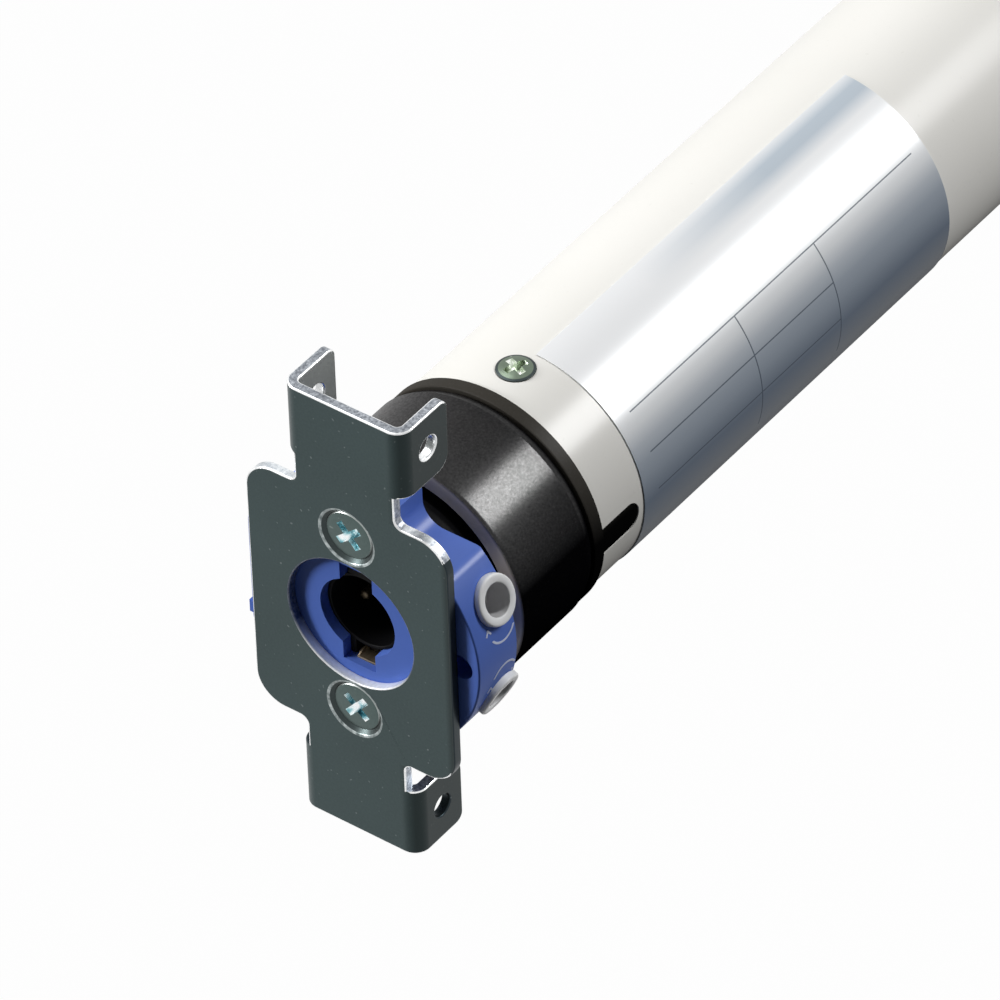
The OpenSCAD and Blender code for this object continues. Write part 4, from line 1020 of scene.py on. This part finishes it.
def makeCrown():
    c, e = crown, crown.edge
    ring = turned("crown", [
        (c.front, c.bore + e * 0.5), (c.front, c.radius - e), (c.front + e * 0.3, c.radius - e * 0.3),
        (c.front + e, c.radius), (c.back - c.chamfer, c.radius), (c.back - c.chamfer + 0.12, c.radius - 0.16),
        (c.back - c.backEdge, c.radius - c.taper), (c.back, c.radius - c.taper - c.backEdge), (c.back, c.root),
        (c.band, c.root), (c.band, c.bore),
        (c.front + e * 0.5, c.bore), (c.front, c.bore + e * 0.5)], 256)
    smooth(ring)
    pitch = 2 * math.pi * c.pitchRadius / c.teeth
    half = pitch * c.toothHalf
    tooth = block("tooth", (c.band, -half, c.tip), (c.back, half, c.root + 0.15))
    with shaping(tooth):
        choose("FACE", lambda c, f: f.normal.z < -0.9)
        bpy.ops.transform.resize(value=(1, c.toothTip, 1), center_override=(0, 0, c.tip * mm))
    parts = [ring]
    for k in range(c.teeth):
        only(tooth)
        bpy.ops.object.duplicate()
        parts.append(fixPlace(bpy.context.object, rolled(360 * k / c.teeth + 90)))
    bpy.data.objects.remove(tooth)
    place(gather("crownRing", parts), "crownRing", "crown", "crown_plastic", "crown_ring")


# Flange in the tube's mouth, tube, its screws and the label

tube = Sizes(
    front=31.0, back=392.9, radius=17.5, bore=16.3, slotHalf=2.2, slot=8.1, screwX=36.6, endScrewX=383.9, screwHead=2.7,
    dome=0.45, shank=1.45, shankNear=6.5, shankFar=3.6, edge=0.18, cross=2.4, crossHalf=0.66, crossDeep=1.2,
    crossTurn=20, domeRings=(0.97, 0.9, 0.78, 0.62, 0.45, 0.28, 0.12, 0.0))
flange = Sizes(front=28.8, rim=31.0, radius=17.9, inner=16.25, bore=12.07, end=43.1, key=17.35, play=0.05,
               screwHole=(8, 20, 1.5))


def keyTool(half, length, name):
    # a bar with a round end, standing on the side that faces the adjusters
    low, high = 14, 19
    bar = block(name, (tube.front - 0.5, -high, -half), (tube.front + length, -low, half))
    roundEdges(bar, lambda c, e: near(c.x, tube.front + length) and near(abs(c.z), half), half * 0.999, 16)
    return bar


def makeFlange():
    f = flange
    body = turned("flange", [
        (f.front, f.bore), (f.front, f.radius - 0.35), (f.front + 0.12, f.radius - 0.1), (f.front + 0.35, f.radius),
        (f.rim, f.radius, 0.15), (f.rim, f.inner), (f.end, f.inner), (f.end, f.bore), (f.front, f.bore)], 256)
    key = keyTool(tube.slotHalf - f.play, tube.slot - f.play, "key")
    carve(key, rod("limit", 29, 45, f.key, 256), how="INTERSECT")
    carve(body, key, how="UNION")
    for angle in (0, 180):
        carve(body, rod("hole", *f.screwHole, 32), radialPlace(tube.screwX, angle))
    smooth(body)
    coat(body, flangePlastic())
    place(body, "tubeFlange", "motor", "black_plastic", "tube_flange")


def screwPlaces():
    return [(tube.screwX, a) for a in (0, 180)] + [(tube.endScrewX, a) for a in (0, 120, 240)]


def makeTube():
    t, e = tube, tube.edge
    body = turned("tube", [
        (t.front, t.bore + 0.1), (t.front, t.radius - e), (t.front + e * 0.4, t.radius - e * 0.25),
        (t.front + e * 1.3, t.radius), (t.back, t.radius, e), (t.back, t.bore), (t.front + 0.1, t.bore),
        (t.front, t.bore + 0.1)], 256)
    carve(body, keyTool(t.slotHalf, t.slot, "slot"))
    depth = t.screwHead - t.shank
    for x, angle in screwPlaces():
        # the thin wall is drawn in round the screw, so the rim of the hole is soft
        sink = turned("sink", [
            (15, 0), (15, t.shank + 0.15), (t.radius - depth, t.shank + 0.15), (t.radius - 0.12, t.screwHead + 0.05),
            (t.radius + 0.02, t.screwHead + 0.38), (19, t.screwHead + 1.6), (19, 0)], 64)
        carve(body, sink, radialPlace(x, angle))
    smooth(body, 30)
    place(body, "motorTube", "motor", "tube_paint", "motor_tube")


def makeTubeScrews():
    t = tube
    r, top = t.radius, t.radius + t.dome
    ball = (t.screwHead ** 2 + t.dome ** 2) / (2 * t.dome)
    screws = []
    for x, angle in screwPlaces():
        bottom = r - (t.shankNear if x == t.screwX else t.shankFar)
        profile = [(bottom, 0), (bottom, t.shank, 0.2), (r - t.screwHead + t.shank, t.shank),
                   (r - 0.1, t.screwHead - 0.1), (r, t.screwHead - 0.02)]
        for share in t.domeRings:
            across = (t.screwHead - 0.12) * share
            profile.append((top - ball + math.sqrt(ball ** 2 - across ** 2), across))
        head = turned("tubeScrew", profile, 64)
        coat(head, finishes["screw_steel"], crossPale, screwPale, sinkShade)
        carve(head, crossTool(t.cross, t.crossHalf, t.crossDeep, t.crossTurn), moved(top) @ rolled(180, "Z"))
        paintFaces(head, lambda c, n, now: c.x > top - 1.35 and math.hypot(c.y, c.z) < 1.6
                   and (c.x < r + 0.1 or abs(n.x) < 0.7), 1)
        paintFaces(head, lambda c, n, now: c.x > r + 0.02 and now == 0, 2)
        # the dome's outer ring takes painted shadow, as in the gap round the head
        paintFaces(head, lambda c, n, now: c.x > r - 0.2 and math.hypot(c.y, c.z) > 2.35, 3)
        screws.append(fixPlace(head, radialPlace(x, angle)))
    both = gather("tubeScrews", screws)
    smooth(both, 30)
    place(both, "tubeScrews", "motor", "screw_steel", "tube_screws")


def makeLabel():
    s = labelSizes
    strip = block("label", (s.start, -s.foil / 2, s.radius), (s.start + s.length, s.foil / 2, s.radius + s.foil))
    fixPlace(strip, moved(0, -s.foil / 2))
    fixPlace(strip, rolled(s.first))
    aim = rolled(s.first) @ Vector((0, -1, 0))
    with shaping(strip):
        choose("FACE", lambda c, f: f.normal.dot(aim) > 0.9)
        bpy.ops.mesh.spin(steps=110, angle=-math.radians(s.span), center=(0, 0, 0), axis=(1, 0, 0))
        closeUp(1e-6)
    soften(strip, s.edge, 35)
    smooth(strip, 40)
    place(strip, "ratingLabel", "motor", "label_foil", "rating_label")


makeCrown()
makeFlange()
makeTube()
makeTubeScrews()
makeLabel()


# Drive end: cap, shaft and clip

drive = Sizes(
    capFrom=365.4, tubeEnd=392.9, capEnd=395.4, capRadius=16.25, flangeRadius=17.5, capGroove=(13.2, 12.9, 10.9, 10.6),
    screwHole=(13.6, 20, 1.5), bearing=11.05, bearingEnd=388.9, shaft=8, driveFrom=397.9, end=415.9, drive=5,
    flat=4, groove=(395.65, 396.95, 7.2), clipFrom=395.7, clipTo=396.9, clipOut=1.6, clipIn=0.7, gapHalf=2.5,
    disc=360, discEnd=365, discRadius=12.32, pin=1.6, pinOut=8.1, pinFrom=345.6)


def makeEndCap():
    d = drive
    outer, outerLow, innerLow, inner = d.capGroove
    body = turned("cap", [
        (d.capFrom, d.bearing), (d.capFrom, d.capRadius, 0.3), (d.tubeEnd, d.capRadius),
        (d.tubeEnd, d.flangeRadius, 0.2), (d.capEnd - 0.5, d.flangeRadius),
        (d.capEnd - 0.15, d.flangeRadius - 0.15), (d.capEnd, d.flangeRadius - 0.5),
        (d.capEnd, outer), (d.capEnd - 0.6, outerLow), (d.capEnd - 0.6, innerLow), (d.capEnd, inner),
        (d.capEnd, d.shaft + 0.2, 0.25), (d.bearingEnd, d.shaft + 0.2), (d.bearingEnd, d.bearing),
        (d.capFrom, d.bearing)], 192)
    for angle in (0, 120, 240):
        carve(body, rod("hole", *d.screwHole, 32), radialPlace(tube.endScrewX, angle))
    smooth(body)
    place(body, "endCap", "motor", "black_plastic", "end_cap")


def makeOutputShaft():
    # the third carrier with its pins, the bearing part, the ring groove and the drive end with its flat
    d = drive
    groove, grooveEnd, bottom = d.groove
    body = turned("shaft", [
        (d.disc, 0), (d.disc, d.discRadius, 0.3), (d.discEnd, d.discRadius, 0.3), (d.discEnd, d.shaft, 0.4),
        (groove, d.shaft), (groove, bottom), (grooveEnd, bottom), (grooveEnd, d.shaft), (d.driveFrom, d.shaft, 0.3),
        (d.driveFrom, d.drive), (d.end, d.drive, 0.8), (d.end, 0)], 128)
    carve(body, block("flat", (d.driveFrom, -d.drive, d.flat), (d.end + 1, d.drive, d.drive + 1)))
    cleanUp(body)
    for turn in (0, 120, 240):
        pin = turned("pin", [(d.pinFrom, 0), (d.pinFrom, d.pin, 0.2), (d.disc + 0.5, d.pin), (d.disc + 0.5, 0)], 48)
        carve(body, pin, rolled(turn) @ moved(0, d.pinOut), "UNION")
    smooth(body)
    place(body, "outputShaft", "output", "steel", "output_shaft")


def makeClip():
    # a snap ring in the groove, open at the top, with rounded ends
    d = drive
    low, high, inner, outer = d.clipFrom, d.clipTo, d.shaft - d.clipIn, d.shaft + d.clipOut
    body = turned("clip", [(low, inner + 0.1), (low, outer, 0.1), (high, outer, 0.1), (high, inner, 0.1),
                           (low + 0.1, inner), (low, inner + 0.1)], 128)
    carve(body, block("gap", (low - 1, -d.gapHalf, 0), (high + 1, d.gapHalf, 20)))
    roundEdges(body, lambda c, e: near(abs(c.y), d.gapHalf, 0.03) and c.z > 0 and near(c.x, (low + high) / 2, 0.1),
               0.5, 6)
    smooth(body)
    place(body, "shaftClip", "output", "screw_steel", "shaft_clip")


makeEndCap()
makeOutputShaft()
makeClip()


# Floor, world, lamps and camera

def layFloor():
    clearPick()
    bpy.ops.mesh.primitive_plane_add(size=30, location=(0, 0, -0.30))
    floor = bpy.context.object
    floor.name = "paleFloor"
    fixPlace(floor)
    b = startFinish("paleFloor")
    b.tree.nodes.clear()
    matt = b.node("BsdfDiffuse", {}, {"Color": (0.12, 0.12, 0.12)})
    white = b.node("Emission", {}, {"Color": (1.0, 1.0, 1.0), "Strength": 1.0})
    b.node("OutputMaterial", {}, {0: b.node("MixShader", {}, {0: b.seen() * 0.985, 1: matt, 2: white})})
    coat(floor, b.holder)


def lightWorld(dim):
    world = bpy.data.worlds.new("studio")
    bpy.context.scene.world = world
    b = Board(world)
    b.tree.nodes.clear()
    soft, white = (b.node("Background", {}, {"Color": (1.0, 1.0, 1.0), "Strength": power}) for power in (dim, 1.0))
    b.node("OutputWorld", {}, {0: b.node("MixShader", {}, {0: b.seen(), 1: soft, 2: white})})


def addHolder(name, data):
    holder = bpy.data.objects.new(name, data)
    bpy.context.scene.collection.objects.link(holder)
    return holder


def hangLamp(name, direction, distance, size, power, along=(0, 0, 1), aim=(0.04, 0, 0)):
    # the lamp's first side runs along the given direction
    lamp = bpy.data.lights.new(name, "AREA")
    lamp.shape = "RECTANGLE"
    lamp.size, lamp.size_y = size
    lamp.energy = power
    holder = addHolder(name, lamp)
    away = Vector(direction).normalized()
    holder.location = Vector(aim) + away * distance
    first = (Vector(along) - away * away.dot(Vector(along))).normalized()
    holder.rotation_euler = Matrix((first, away.cross(first), away)).transposed().to_euler()


def setCamera():
    lens = bpy.data.cameras.new("camera")
    lens.sensor_width = 36
    lens.lens = 357.205
    lens.clip_start = 0.01
    holder = addHolder("camera", lens)
    right = Vector((0.59305838, -0.80476212, -0.02633577))
    up = Vector((0.54352946, 0.37600313, 0.75049765))
    back = Vector((-0.59409756, -0.45940691, 0.66034806))
    turn = Matrix((right, up, back)).transposed().to_4x4()
    holder.matrix_world = Matrix.Translation((-0.73710005, -0.59494937, 0.85310611)) @ turn
    bpy.context.scene.camera = holder


layFloor()
lightWorld(0.03)
hangLamp("keyLamp", (0.594, -0.500, 0.626), 0.9, (0.36, 0.08), 5.4, (0, -0.7815, -0.6239))
hangLamp("overheadLamp", (-0.15, 0.62, 0.77), 1.0, (0.9, 0.9), 7.5)
hangLamp("frontLamp", (-0.60, 0.75, 0.28), 1.0, (0.25, 0.25), 7.3)
setCamera()
bpy.context.scene.view_settings.view_transform = "Standard"
print("scene ready")
